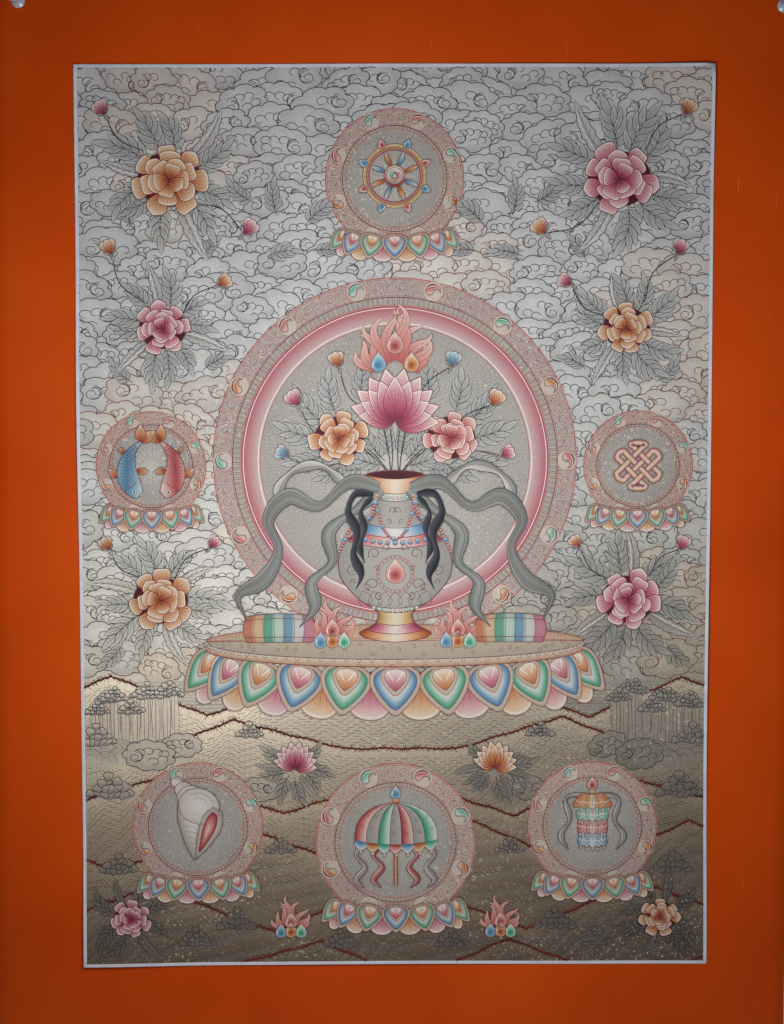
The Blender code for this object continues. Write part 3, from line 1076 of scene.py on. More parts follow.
def throne(x, z, half):
    """A lotus seat: a round top with stamens, a pearl rim, an edging with scrolls, and hanging petals."""
    angle = np.linspace(-QUARTER, QUARTER, 90)
    rim = pair(x + half * np.sin(angle), z - 0.1 * half * np.cos(angle))
    far = pair(x + half * np.sin(angle), z + 0.085 * half * np.cos(angle))
    low = rim - (0, 6)
    for k in range(1, 89, 2):
        bead(rim[k, 0], rim[k, 1] - 1.4, 1.3, PEARLS, SYMBOLS + 0.24)
    for k in range(4, 88, 5):
        for way in WAYS:
            scroll = curl(0.5 * (rim[k] + low[k]) - (0, 1.2), QUARTER - way, 1.6, 0.9, -way, 0.7, 14)
            brush("red", scroll, 0.36, SYMBOLS + 0.23, (0.8, 0.3), 0.5)
    brush_each("maroon", (rim, low), 0.55, SYMBOLS + 0.23, 0.8)
    strip("symbol", rim, low, 4, ((0, "#E8D9C6"), (0.5, "#DCC3AA"), (1, "#C79C80")), SYMBOLS + 0.21)
    board.claim(between(rim, low))
    for k in range(2, 88):
        start = far[k] + 0.1 * (rim[k] - far[k])
        brush("red", [start, start + 0.32 * (rim[k] - far[k])], 0.3, SYMBOLS, (0.9, 0.4), 0.6)
    for share, ink_name in ((0, "maroon"), (0.4, "red"), (0.46, "sepia")):
        brush(ink_name, far + share * (rim - far), 0.45, SYMBOLS, 0.8)
    for k in range(3, 87, 2):
        place = far[k] + (0.62 + 0.16 * (k % 4 == 1)) * (rim[k] - far[k])
        scroll = curl(place, 0.7 * k, 1.9, 1.1, (-1) ** (k // 2), 0.7, 16)
        brush("sepia", scroll, 0.36, SYMBOLS, (0.7, 0.3), 0.5)
    strip("symbol", far, rim, 4, ((0, "#D2A184"), (0.3, "#D3BFA8"), (1, "#BDB3A4")), SYMBOLS - 0.02)
    board.claim(between(far, rim))
    lotus_row(x, z - 5, 0.97 * half, 41, 11, SYMBOLS - 0.06)


def garland(points):
    """A string of rose beads along a smooth curve, with a larger blue one at every fifth."""
    size, height = 1.3, SYMBOLS + 0.24
    for k, (x, z) in enumerate(stations(smooth_line(points, 60), 2 * size)):
        large = k % 5 == 2
        bead(x, z, size * (1.45 if large else 1), SKIES if large else ROSES, height + 0.01 * large)


def cushion(x, z, width, tall):
    """A bolster seen from its side: upright stripes of colour, bowed ends and two corded seams."""
    height = SYMBOLS + 0.04
    share = shares(29)
    bow = 0.1 * tall * np.sin(pi * share)
    top = pair(x + width * (share - 0.5), z + tall + bow)
    foot = pair(x + width * (share - 0.5), z)
    tones = ("#C98269", "#DDBC9C", "#6BAE98", "#C3D8CC", "#7BA6BC", "#D2D6D3", "#CB8A9C")
    stripe = np.array([rgb(tones[k // 4 % 7]) for k in range(29)])
    rows = shares(7)[:, None, None]
    grid = foot + rows * (top - foot)
    grid[:, :, 0] += (0.12 * tall * np.sin(pi * rows[:, :, 0])) * (2 * share - 1)
    shade = (0.72 + 0.36 * np.sin(pi * np.linspace(0.12, 0.92, 7)))[:, None, None]
    brush_each("maroon", [grid[:, k] for k in range(4, 28, 4)], 0.34, height + LINE_RISE, 0.9)
    edges = (top, foot, grid[:, 0], grid[:, -1], grid[1] + (0, 0.4), grid[5])
    brush_each("maroon", edges, 0.5, height + LINE_RISE, 0.9)
    panel("symbol", grid, shade * stripe[None], height)
    board.claim(np.concatenate([grid[-1], grid[::-1, -1], grid[0, ::-1], grid[:, 0]]))


VASE_SCALE = 1.28
VASE_SIDE = (
    # half width and height, from the foot up
    (20, 0), (22, 3), (13, 8), (10, 14), (14, 18), (23, 24), (33, 36), (35, 48), (30, 60), (19, 69), (12, 77),
    (11, 86), (15, 93), (20, 98), (19, 101),
)


def vase(x, z):
    """A treasure vase: a grid between its two sides, in bands, with belts, beads, scrolls and a medallion."""
    side = smooth_line(VASE_SCALE * np.array(VASE_SIDE, float), 141)
    u = np.linspace(-1, 1, 15)[:, None]
    bow = 0.16 * side[:, 0] * (1 - u**2)
    grid = pair(x + u * side[:, 0], z + side[:, 1] - bow)
    bands = (
        (0, 5, ORANGES), (5, 9, PINKS), (9, 17, GOLDS), (17, 21, GREENS), (21, 60, CREAMS), (60, 66, ROSES),
        (66, 71, BLUES), (71, 86, CREAMS), (86, 91, GREENS), (91, 101.5, ORANGES),
    )
    high = SYMBOLS + 0.16
    above = high + LINE_RISE

    def row_at(level):
        return int(np.argmin(np.abs(side[:, 1] - VASE_SCALE * level)))

    colours = np.zeros(grid.shape[:2] + (3,))
    for low, top, stops in bands:
        inside = (side[:, 1] >= VASE_SCALE * low) & (side[:, 1] < VASE_SCALE * top)
        tone = blend(stops, 1 - np.abs(u[:, 0]) ** 1.4)
        colours[:, inside] = tone[:, None]
        brush("maroon", grid[:, row_at(low)], 0.55, above, 1)
    for level, size, count, stops in ((19, 1.5, 9, PEARLS), (63, 2, 11, SKIES), (88, 1.3, 8, PEARLS)):
        wide, up = side[row_at(level)]
        for share in np.linspace(-0.86, 0.86, count):
            bead(x + share * wide, z + up - 0.16 * wide * (1 - share**2), size, stops, high + 0.03)
    jewel(x, z + 51, 18, ROSES, high + 0.05)
    for radius in (12.5, 15):
        brush("red", circle(radius, count=50, centre=(x, z + 50)), 0.45, above, 1, 0.7)
    for k in range(24):
        dot = (x, z + 50) + 13.8 * toward(TAU * k / 24)
        brush("sepia", circle(0.6, count=8, centre=dot), 0.3, above, 1, 0.3)
    for way in WAYS:
        for start, heading, radius, turns in (
            ((15, 30), 0.2, 4.6, 1.3), ((16, 51), 0.9, 4, 1.2), ((25, 41), -0.6, 3.4, 1.2),
            ((8, 56), 1.2, 2.6, 1.1), ((9, 25), -0.4, 2.8, 1.1), ((3, 79), 1, 2.4, 1.1),
            ((20, 34), 2.2, 2.6, 1.1), ((21, 49), 3.4, 2.4, 1.1), ((13, 45), 1.9, 1.8, 1),
            ((27.5, 35), 1, 2, 1), ((27, 49), 2.6, 2, 1), ((5, 74), 2, 1.6, 1),
        ):
            scroll = VASE_SCALE * (curl((0, 0), heading, radius, turns, 1, 0.75, 30) + start)
            scroll[:, 0] = x + way * scroll[:, 0]
            scroll[:, 1] += z - 2
            brush("sepia", scroll, 0.58, above, (0.8, 0.3), 0.6)
    for share in np.linspace(-0.8, 0.8, 7):
        root = (x + share * side[row_at(23), 0], z + VASE_SCALE * 20.5 - 2 * (1 - share**2))
        tip = spot(*root, 12, -0.35 * share)
        brush("sepia", tip(pointed_petal(0.3, 26)), 0.42, above, 0.8, 0.6)
    mouth = circle(1, count=50)[:-1] * (0.97 * side[-1, 0], 4) + (0, side[-1, 1] - 1)
    brush_each("maroon", (grid[0], grid[-1]), 0.75, above, 0.9)
    panel("symbol", grid, colours, high)
    board.claim(between(grid[0], grid[-1]))
    shape(spot(x, z), mouth, None, PLUM, high - 0.06, "maroon", 0.5, mouth.mean(0), 2)


def lotus_bloom(x, z, size, stops, height=FLOWERS):
    """An open lotus: pointed petals fanned from its heart, the middle ones in front, longer ones behind."""
    leans = np.linspace(-1.45, 1.45, 9)
    for ring, (long, rise) in enumerate(((0.86, 0.1), (1.05, 0.04))):
        for k in np.argsort(np.abs(leans)):
            lean = leans[k] + 0.18 * ring
            carry = spot(x, z, size * long * (1 - 0.1 * abs(lean)), -lean, 1, 0.6)
            petal(carry, pointed_petal(0.4), stops, height + rise + 0.004 * (9 - abs(k - 4)))


def wheel(x, z, radius):
    """An eight-spoked wheel: a whirled hub, lens-shaped spokes, a shaded rim, a jewel past each spoke."""
    high = SYMBOLS
    for k, stops in enumerate((PINKS, GREENS, ORANGES)):
        swirl = comma_outline(k * TAU / 3)
        shape(spot(x, z, 0.2 * radius), swirl, distance, stops, high + 0.06, "soot", 0.35, swirl.mean(0), 2)
    bead(x, z, 0.24 * radius, PEARLS, high + 0.04)
    bead(x, z, 0.31 * radius, ROSES, high + 0.02)
    for k in range(8):
        turn = TAU * (k + 0.5) / 8
        carry = spot(*((x, z) + 0.27 * radius * toward(turn)), 0.5 * radius, turn - QUARTER, 1, 0.3)
        shape(carry, pointed_petal(0.9, 24), up_key, (ORANGES, BLUES)[k % 2], high + 0.01, "maroon", 0.4)
        tip = (x, z) + 0.97 * radius * toward(turn)
        jewel(*tip, 0.26 * radius, (ROSES, SKIES)[k % 2], high, turn - QUARTER)
    ring = circle(1, count=120)
    for inner, outer, stops in ((0.74, 0.8, ROSES), (0.8, 0.92, GOLDS)):
        strip("symbol", ring * inner * radius + (x, z), ring * outer * radius + (x, z), 4, stops, high - 0.01)
    for line in (0.74, 0.8, 0.92):
        brush("maroon", ring * line * radius + (x, z), 0.5, high + 0.01, 1)
    for k in range(40):
        turn = TAU * k / 40
        spiral = curl((0, 0), turn, 0.9, 0.9, 1, 0.6, 10) + (x, z)
        brush("sepia", spiral + 0.86 * radius * toward(turn), 0.32, high + 0.01)


def comma_outline(turn):
    """One third of a whirl of three commas: an outline a unit long that turns about the centre."""
    share = shares(16)
    side = toward(turn + 1.7 * share)
    spine = side * (0.62 - 0.25 * share)[:, None]
    outline = band_round(spine, side, 0.3 * np.sin(pi * (0.55 + 0.45 * share)) ** 0.9)[2]
    round_head = circle(0.3, turn + pi, turn + TAU, 9, spine[0])
    return np.concatenate([outline, round_head[1:-1]])


def fish(carry, stops):
    """A fish on a bowed spine one unit long: scales in rows, a lit eye, fins with rays and a forked tail."""
    height = SYMBOLS
    share = shares(44)
    angle = QUARTER + 0.95 - 1.9 * share
    spine, side = bent((0, 0), angle, 1)
    half = 0.2 * np.sin(pi * (0.06 + 0.88 * share) ** 0.75) * (1 - 0.45 * share)
    left, right, body = band_round(spine, side, half)
    eye = spine[4] + side[4] * 0.035
    for reach, count, tone, rise, width in (
        (0.018, 12, "#2A2A2E", 0.07, 0.2), (0.038, 16, "#F6F2EA", 0.05, 0.3),
    ):
        disc = circle(reach, count=count, centre=eye)[:-1]
        shape(carry, disc, distance, ((0, tone), (1, tone)), height + rise, "soot", width, eye, 1)
    for k in range(9, 40, 2):
        for row in range(-2, 3):
            off = 0.4 * row + 0.2 * (k // 2 % 2)
            if abs(off) < 0.88:
                scale = circle(0.03, angle[k] + 1.9, angle[k] + 4.4, 8, spine[k] + side[k] * half[k] * off)
                brush("maroon", carry(scale), 0.28, height + 0.03, 0.5, 0.4)
    gill = circle(0.105, angle[9] + 2.2, angle[9] + 4.2, 10, spine[9] + 0.08 * toward(angle[9]))
    brush("maroon", carry(gill), 0.45, height + 0.03, 0.6, 0.5)
    shape(carry, body, lambda p: 0.15 + 0.85 * np.clip(np.abs(p[:, 0] - spine[22, 0]) * 4, 0, 1),
          stops, height + 0.01, "maroon", 0.5, spine[22], 4)
    for root, lean, size in (
        (spine[-1], 0.45, 0.3), (spine[-1], -0.45, 0.3), (left[16], 1.2, 0.22), (right[20], -1.3, 0.2),
        (left[30], 1, 0.14),
    ):
        fin = spot(*root, size, angle[30] + lean - QUARTER, 1, 0.62)
        for ray in (-0.5, 0, 0.5):
            route = smooth_line([(0, 0.05), (0.35 * ray, 0.45), (0.3 * ray, 0.88)], 8)
            brush("maroon", carry(fin(route)), 0.28, height, (0.8, 0.2), 0.5)
        shape(carry, fin(pointed_petal(0.8, 26)), lambda p: distance(p, root) / size, ORANGES, height - 0.02,
              "maroon", 0.42, fin((0, 0.5)), 3)


def endless_knot(x, z, size):
    """An endless knot: one band along three lines each way, over and under, closed by round loops."""
    end = 1.75
    path = []
    for level, place, way in (
        (True, 1, 1), (False, 1, -1), (False, 0, 1), (False, -1, -1), (True, -1, 1), (True, 0, -1),
    ):
        along = np.linspace(-end, end, 25) * way
        points = pair(along, place) if level else pair(place, along)
        phase = np.cos(pi * along) * (1 if place % 2 == 0 else -1)
        weave = phase * (1 if level else -1) * (np.abs(along) < 1.4)
        path.append(np.concatenate([points, weave[:, None]], 1))
    loops = []
    for one, after in zip(path, path[1:] + path[:1]):
        a, b = one[-1, :2], after[0, :2]
        middle = 0.5 * (a + b)
        away = unit(a - one[-2, :2])
        onward = unit(b - after[1, :2])
        push = 0.75 if distance(b, a) < 1.5 else 1
        over = middle + (away + onward) * 0.42 * push
        curve = smooth_line([a, a + away * 0.55 * push, over, b + onward * 0.55 * push, b], 16)[1:-1]
        loops += [one, np.concatenate([curve, np.zeros((len(curve), 1))], 1)]
    run = np.concatenate(loops + [loops[0][:1]])
    turned = spot(x, z, size, 0.25 * pi)(run[:, :2])
    side = leftward(turned)
    left, right = turned + 0.3 * size * side, turned - 0.3 * size * side
    heights = SYMBOLS + 0.03 * run[:, 2]
    stops = ((0, "#C4714F"), (0.25, "#EBC9A4"), (0.5, "#F6EEDD"), (0.75, "#E8A8A6"), (1, "#B95A6C"))
    strip("symbol", left, right, 4, stops, np.tile(heights, 5))
    for k in range(len(turned) - 1):
        for edge in (left, right):
            cut = edge[k:k + 2]
            edge_height = 0.5 * (heights[k] + heights[k + 1]) + 0.012
            strokes.setdefault("maroon", []).append((cut + 0.2 * side[k], cut - 0.2 * side[k], edge_height))
        board.claim(between(left[k:k + 2], right[k:k + 2]))


def parasol(x, z, size):
    """A parasol: gores round a dome, a scalloped valance, a jewel on top, a pole and long silk streamers."""
    high = SYMBOLS + 0.05
    above = high + LINE_RISE
    jewel(x, z + 0.98 * size, 0.26 * size, SKIES, high + 0.05)
    bead(x, z + 0.82 * size, 0.07 * size, ORANGES, high + 0.04)
    edges = np.linspace(-1, 1, 8)
    up = np.linspace(0, QUARTER, 24)
    gores = (ROSES, CREAMS, GREENS, CREAMS)
    flaps = (BLUES, ORANGES, GREENS, ROSES)

    def meridian(share):
        sag = 0.1 * size * (1 - share**2) * np.sin(up)
        return pair(x + 0.86 * size * share * np.sin(up), z + 0.78 * size * np.cos(up) ** 0.8 - sag)

    for k in range(7):
        a, b = meridian(edges[k]), meridian(edges[k + 1])
        strip("symbol", a, b, 5, gores[k % 4], high)
        brush("maroon", b if k < 6 else a, 0.45, above, 0.9)
        middle = 0.5 * (a + b)
        for row in (9, 14, 19):
            brush("sepia", curl((0, 0), 0.8 * k, 0.045 * size, 1, 1, 0.6, 12) + middle[row], 0.36, above)
        share = shares(12)
        top = a[-1] + share[:, None] * (b[-1] - a[-1])
        drop = top - pair(0, 0.1 * size + 0.1 * size * np.sin(pi * share))
        brush("maroon", drop, 0.45, high + 0.03, 0.9, 0.6)
        brush("maroon", [top[0], drop[0]], 0.4, high + 0.03, 0.9, 0.6)
        strip("symbol", top, drop, 4, flaps[k % 4], high + 0.01)
        bead(drop[6, 0], drop[6, 1] - 0.03 * size, 0.035 * size, PEARLS, high + 0.03)
        board.claim(between(top, drop))
        board.claim(between(a, b))
    for way in WAYS:
        for reach, stops in ((0.3, ROSES), (0.66, SILVERS)):
            sway = ((0, -0.05), (0.16, -0.32), (-0.02, -0.58), (0.16, -0.84), (0, -1.02))
            route = [(x + way * size * (reach + across), z + size * up) for across, up in sway]
            ribbon(route, 0.12 * size, stops, high - 0.04, (0.5,), line="maroon", turns=1.6)
    pole = stations([(x, z + 0.1 * size), (x, z - 0.98 * size)], 1.5)
    left, right = pole - (0.035 * size, 0), pole + (0.035 * size, 0)
    strip("symbol", left, right, 3, ((0, "#B0553A"), (0.5, "#F0C9A0"), (1, "#A8492F")), high - 0.05)
    brush_each("maroon", (left, right), 0.45, high - 0.03, 1)
    board.claim(between(left, right))


def roundel(x, z, radius):
    """A roundel behind a symbol: a cream field with rays, a ladder ring and a scroll ring."""
    rim = 0.69 * radius
    fine_rays(x, z, 0.12 * radius, 0.68 * radius, int(1.6 * radius), 5)
    field(x, z, rim)
    brush("red", circle(rim, count=140, centre=(x, z)), 0.5, LINES, 1)
    ladder_ring(x, z, rim, 0.76 * radius, 1.5)
    scroll_ring(x, z, 0.76 * radius, radius, 8)
    board.claim(circle(radius, count=140, centre=(x, z)), "#B8ADA5")


def ridge_hill(points, depth, tone):
    """A hill: a broken ridge in thick red-brown with tufts, grass under it, then ripples that follow it."""
    gap = 2.4
    ridge = stations(points, 1.1)
    run = np.arange(len(ridge))
    ridge = ridge + pair(0, 0.35 * np.sin(1.3 * run) + 0.5 * np.sin(0.23 * run))
    for k in range(2, len(ridge) - 2, 3):
        for lean in (-0.8, 0.1, 0.9, 2.6, 3.6):
            tip = ridge[k] + rng.uniform(1.6, 3.4) * toward(QUARTER - lean)
            brush("ridge", [ridge[k], tip], 0.7, LEAVES, (0.9, 0.3), 0.5)
    brush("ridge", ridge, 1.55, LEAVES, 0.6, 0.8)
    for row in range(3):
        for k in range(1 + row, len(ridge) - 1, 2):
            root = ridge[k] - (0, 1.3 + 2 * row + rng.uniform(0, 1.2))
            tip = root + rng.uniform(0.9, 1.8) * toward(0.9 * sin(k) - QUARTER)
            brush("straw" if (k + row) % 3 else "sepia", [root, tip], 0.42, LINES, (0.9, 0.4), 0.5)
    for k in range(3, int(depth / gap)):
        ripple = ridge - pair(0, gap * k + np.abs(np.sin(0.52 * run + 1.6 * (k % 2))))
        for start in range(k % 2 * 4, len(ripple) - 4, 8):
            ink_name = ("grey", "soot", "sepia")[(k + start) % 3]
            brush(ink_name, ripple[start:start + 7], 0.42, LINES, (0.3, 0.9))
    foot = ridge[:, 1].min() - depth
    outline = np.concatenate([ridge, [(ridge[-1, 0], foot), (ridge[0, 0], foot)]])

    def wash(p):
        level = np.interp(p[:, 0], ridge[:, 0], ridge[:, 1])
        below = np.clip((level - p[:, 1]) / 26, 0, 1)[:, None]
        return ground_colour(p) * tone * (1.44 - 0.38 * below**0.6) * (1.03, 1, 0.94)

    board.claim(outline, wash)


def rock(x, z, size):
    """A rock: lumps heaped from the nearest up, each outlined, hatched on its shaded side and washed."""
    theta = np.linspace(0, TAU, 28)
    for k in range(16):
        row = int(sqrt(k))
        centre = np.array([x + 0.22 * size * (k - row * row - row), z + 0.2 * size * (2.4 - row)])
        centre = centre + rng.normal(0, 0.03 * size, 2)
        radius = size * rng.uniform(0.14, 0.21)
        swollen = radius * (0.92 + 0.12 * np.sin(3 * theta + k) + 0.05 * np.sin(7 * theta))
        around = swollen[:, None] * toward(theta) * (1, 0.9)
        brush("soot", centre + around, 0.6, LEAVES, 0.8, 0.6)
        for share in (0.45, 0.75):
            brush("grey", (centre + share * around)[14:26], 0.36, LEAVES, 0.5, 0.6)
        base = ground_colour(centre[None])[0]

        def wash(p, centre=centre, radius=radius, base=base):
            return base * (0.7 + 0.42 * np.clip(0.5 + (p[:, 1] - centre[1]) / (1.7 * radius), 0, 1))[:, None]

        board.claim(centre + around, wash)


def water(low, high):
    """Still water behind everything on it: rows of small scalloped ripples on a brown-grey wash."""
    for k, z in enumerate(np.arange(low, high, 2.6)):
        x = np.arange(-HALF_W, HALF_W, 0.8)
        line = pair(x, z + 0.9 * np.abs(np.sin(x * 0.45 + 1.57 * (k % 2))) + 0.5 * np.sin(0.03 * x + k))
        brush("grey" if k % 4 else "sepia", line, 0.36, LINES, 1, 0.8)
    box = np.array([(-HALF_W, low), (HALF_W, low), (HALF_W, high), (-HALF_W, high)])
    board.claim(box * 1.001, lambda p: ground_colour(p) * (0.92 + 0.06 * np.sin(p[:, 1:] * 0.4)))


def cliff(x, z, width, height, way):
    """A cliff with water falling down it: wavy lines under a broken crest of rocks, and curls at its foot."""
    for k in range(14):
        low = 1.06 - 0.16 * (k // 7) + 0.05 * sin(1.9 * k)
        foot = np.array([x + width * (k % 7 / 6 - 0.5), z - height * low])
        for reach, ink_name in ((7.4, "soot"), (5.8, "grey"), (4.2, "grey"), (2.6, "sepia")):
            arch = circle(reach, QUARTER - 1.5 * way, QUARTER + 1.9 * way, 22, foot, 1.25)
            brush(ink_name, arch, 0.46, LEAVES, (0.5, 0.3), 0.6)
        board.claim(circle(7.4, count=30, centre=foot, stretch=1.25), lambda p: 1.06 * ground_colour(p))
    edge = np.linspace(-0.5, 0.5, 33)
    jag = 0.22 * np.abs(np.sin(7 * edge + 0.4)) + 0.1 * np.sin(19 * edge) - 0.3 * way * edge
    crest = pair(x + width * edge, z + height * jag)
    for k in (3, 29, 9, 15, 21, 26, 6, 18):
        rock(crest[k, 0], crest[k, 1] + 2 * sin(2 * k), 12 + 3.5 * sin(3.1 * k))
    for k, share in enumerate(np.linspace(-0.5, 0.5, int(width / 2.1))):
        level = np.interp(x + width * share, crest[:, 0], crest[:, 1]) - 1.5
        top = np.array([x + width * share, level])
        long = (level - z + height) * (0.55 + 0.42 * abs(sin(2.3 * k)))
        fall = smooth_line([top, top - (1.1 * sin(1.7 * k), 0.4 * long), top - (0, long)], 16)
        brush(("soot", "grey", "sepia")[k % 3], fall, 0.42, LEAVES, (0.8, 0.2), 0.8)
    outline = np.concatenate([crest, [(x + 0.5 * width, z - height), (x - 0.5 * width, z - height)]])

    def wash(p):
        ripple = 0.05 * np.sin(0.9 * p[:, 0]) + 0.04 * np.sin(2.3 * p[:, 0] + 1)
        return ground_colour(p) * (1.04 + ripple)[:, None] * (1.02, 0.99, 0.98)

    board.claim(outline, wash)


def conch(x, z, size):
    """A white conch: a ribbed body, whorls that step up to its spire, and a rose mouth with a rolled lip."""
    height = SYMBOLS
    carry = spot(x, z, size, -0.35)
    for k, reach in enumerate((0.3, 0.21, 0.14, 0.09)):
        centre = np.array([-0.1 - 0.16 * k, 0.34 + 0.085 * k])
        whorl = circle(reach, count=34, centre=centre, stretch=1.15)[:-1]
        for share in (0.45, 0.72):
            rib = carry(circle(reach * share, 0.4, 2.6, 14, centre, 1.15))
            brush("grey", rib, 0.34, height + 0.07, 0.4, 0.5)
        shape(carry, whorl, lambda p, c=centre, r=reach: 1 - 0.6 * distance(p, c) / r, PEARLS,
              height + 0.02 + 0.008 * (4 - k), "maroon", 0.42, centre, 3)
    mouth = smooth_line(closed(np.array([
        (0.12, 0.42), (0.3, 0.36), (0.38, 0.1), (0.3, -0.22), (0.16, -0.5), (0.08, -0.3), (0.02, -0.02),
        (0.02, 0.24),
    ])), 40)[:-1]
    inside = (mouth - mouth.mean(0)) * (0.55, 0.78) + mouth.mean(0)
    for k in range(6):
        tooth = np.array([[0.24 + 0.02 * k, 0.3 - 0.11 * k], [0.33 - 0.01 * k, 0.32 - 0.11 * k]])
        brush("red", carry(tooth), 0.34, height + 0.09, (0.8, 0.4), 0.4)
    shape(carry, inside, None, flipped(ROSES), height + 0.08, "maroon", 0.4, inside.mean(0), 4)
    shape(carry, mouth, None, flipped(PEARLS), height + 0.06, "maroon", 0.45, mouth.mean(0), 3)
    body = smooth_line(closed(np.array([
        (0.1, 0.6), (-0.2, 0.62), (-0.42, 0.4), (-0.4, 0.1), (-0.2, -0.22), (0.02, -0.46), (0.16, -0.5),
        (0.2, 0),
    ])), 44)[:-1]
    for k in range(6):
        rib = [(0.06 * k - 0.36, 0.1 - 0.08 * k), (0.05 * k - 0.16, 0.16 - 0.09 * k), (0.04, 0.1 - 0.1 * k)]
        brush("grey", carry(smooth_line(rib, 12)), 0.36, height + 0.03, 0.4, 0.5)
    shape(carry, body, None, flipped(PEARLS), height + 0.01, "maroon", 0.5, body.mean(0), 4)


def banner(x, z, size):
    """A victory banner: a jewel, a small canopy, three hanging tiers of silk, and side streamers."""
    height = SYMBOLS
    jewel(x, z + 0.98 * size, 0.3 * size, ROSES, height + 0.1)
    bead(x, z + 0.8 * size, 0.07 * size, GOLDS, height + 0.09)
    for k, (top, half, tall, stops) in enumerate((
        (0.78, 0.5, 0.3, ORANGES), (0.5, 0.4, 0.34, GREENS), (0.18, 0.38, 0.34, ROSES),
        (-0.14, 0.36, 0.36, BLUES),
    )):
        share = np.linspace(-1, 1, 31)
        narrow = 0.55 if k == 0 else 0.92
        upper = pair(x + size * half * share * narrow, z + size * (top - 0.05 * (1 - share**2)))
        scallop = 0.07 * np.abs(np.sin(2.5 * pi * (share + 1)))
        lower = pair(x + size * half * share, z + size * (top - tall - 0.05 * (1 - share**2) - scallop))
        rise = height + 0.015 * (4 - k)
        above = rise + LINE_RISE
        folds = [(one, one + 0.85 * (other - one)) for one, other in zip(upper[3:30:3], lower[3:30:3])]
        brush_each("maroon", folds, 0.3, above, (0.8, 0.2), 0.6)
        brush("white", upper + 0.62 * (lower - upper), 0.4, above, 0.6)
        sides = [(upper[end], lower[end]) for end in (0, -1)]
        brush_each("maroon", (upper, lower, *sides), 0.45, above, 0.9, 0.7)
        for place in (3, 9, 15, 21, 27):
            bead(lower[place, 0], lower[place, 1] - 0.03 * size, 0.035 * size, PEARLS, above)
        across = shares(6)[:, None, None]
        tone = blend(stops, 0.35 + 0.6 * np.sin(pi * (0.5 + 0.5 * share)) * (0.7 + 0.3 * np.cos(9.4 * share)))
        panel("symbol", upper + across * (lower - upper), np.tile(tone, (6, 1, 1)), rise)
        board.claim(between(upper, lower))
    for way in WAYS:
        sway = ((0.24, 0.74), (0.66, 0.62), (0.56, 0.1), (0.78, -0.3), (0.6, -0.66))
        route = [(x + way * across * size, z + up * size) for across, up in sway]
        ribbon(route, 0.13 * size, SILVERS, height - 0.03, (0.5,))


# The composition, from what lies in front to what lies behind

def compose():
    """An altar piece of lucky signs: a treasure vase on a lotus seat in an aureole, six roundels round it.

    Flowers and leaves fill the room between them, with clouds above, and hills and water below.
    """
    altar()
    for x, z, radius, stops, turn in FLOWER_HEADS:
        peony(x, z, radius, stops, turn)
    signs()
    for x, z, size, heading, stops, root in BUDS:
        bud(x, z, size, heading, stops, root)
    foliage()
    aureole(0, 48)
    for x, z, radius in ROUNDELS:
        roundel(x, z, radius)
    landscape()
    clouds(-112, HALF_H + 14)
    whole = np.array([(-HALF_W, -HALF_H), (HALF_W, -HALF_H), (HALF_W, HALF_H), (-HALF_W, HALF_H)])
    board.claim(1.001 * whole, ground_colour)


ROUNDELS = (
    # centre and radius: top, left, right, low, low left and low right
    (0, 268, 54),
    (-192, 44, 43),
    (192, 44, 43),
    (0, -258, 64),
    (-158, -244, 52),
    (158, -244, 52),
)

FLOWER_HEADS = (
    # centre, radius, colours and turn
    (176, 268, 31, PINKS, 0.4),
    (-176, 268, 31, ORANGES, 1.1),
    (182, 152, 23, ORANGES, 0.2),
    (-182, 152, 23, PINKS, 2),
    (186, -62, 27, PINKS, 1.7),
    (-186, -62, 27, ORANGES, 0.9),
    (-212, -318, 17, PINKS, 0.9),
    (212, -318, 17, ORANGES, 0.1),
)

BUDS = (
    # centre, size, heading, colours and the root of the stem
    (118, 226, 13, 2.3, ORANGES, (160, 250)),
    (-118, 226, 13, 0.84, PINKS, (-160, 250)),
    (138, 186, 11, 2.6, PINKS, (168, 160)),
    (-138, 186, 11, 0.54, ORANGES, (-168, 160)),
    (222, 210, 12, 1.2, PINKS, (196, 172)),
    (-222, 210, 12, 1.94, ORANGES, (-196, 172)),
    (226, 318, 12, 1, ORANGES, (196, 290)),
    (-226, 318, 12, 2.1, PINKS, (-196, 290)),
    (146, -20, 10, 2.2, ORANGES, (176, -48)),
    (-146, -20, 10, 0.94, PINKS, (-176, -48)),
    (226, -22, 11, 1.1, PINKS, (202, -44)),
    (-226, -22, 11, 2.04, ORANGES, (-202, -44)),
)

SILKS = (
    # width, colours, rise, folds, ends and route of each length of silk tied round the vase
    (12, SILK_DARK, 0.22, (0.22, 0.5, 0.78), (0.6, 0.1),
     ((12, 27), (36, 31), (60, 12), (84, 20), (100, 2), (92, -22), (104, -46), (124, -58), (118, -78))),
    (10, SILK_LIGHT, 0.21, (0.3, 0.7), (0.6, 0.1),
     ((10, 25), (30, 10), (52, -8), (50, -32), (66, -48), (64, -68), (76, -84))),
    (8, SILVERS, 0.2, (0.4,), (0.6, 0.1), ((40, 30), (58, 44), (80, 40), (92, 24), (84, 12))),
    (7, INKS_BLACK, 0.28, (0.5,), (0.5, 0.05),
     ((17, 22), (31, 22), (37, 8), (30, -8), (33, -26), (27, -42), (31, -54))),
    (5, INKS_BLACK, 0.28, (0.5,), (0.5, 0.05), ((18, 20), (27, 8), (24, -6), (28, -20), (24, -33))),
)


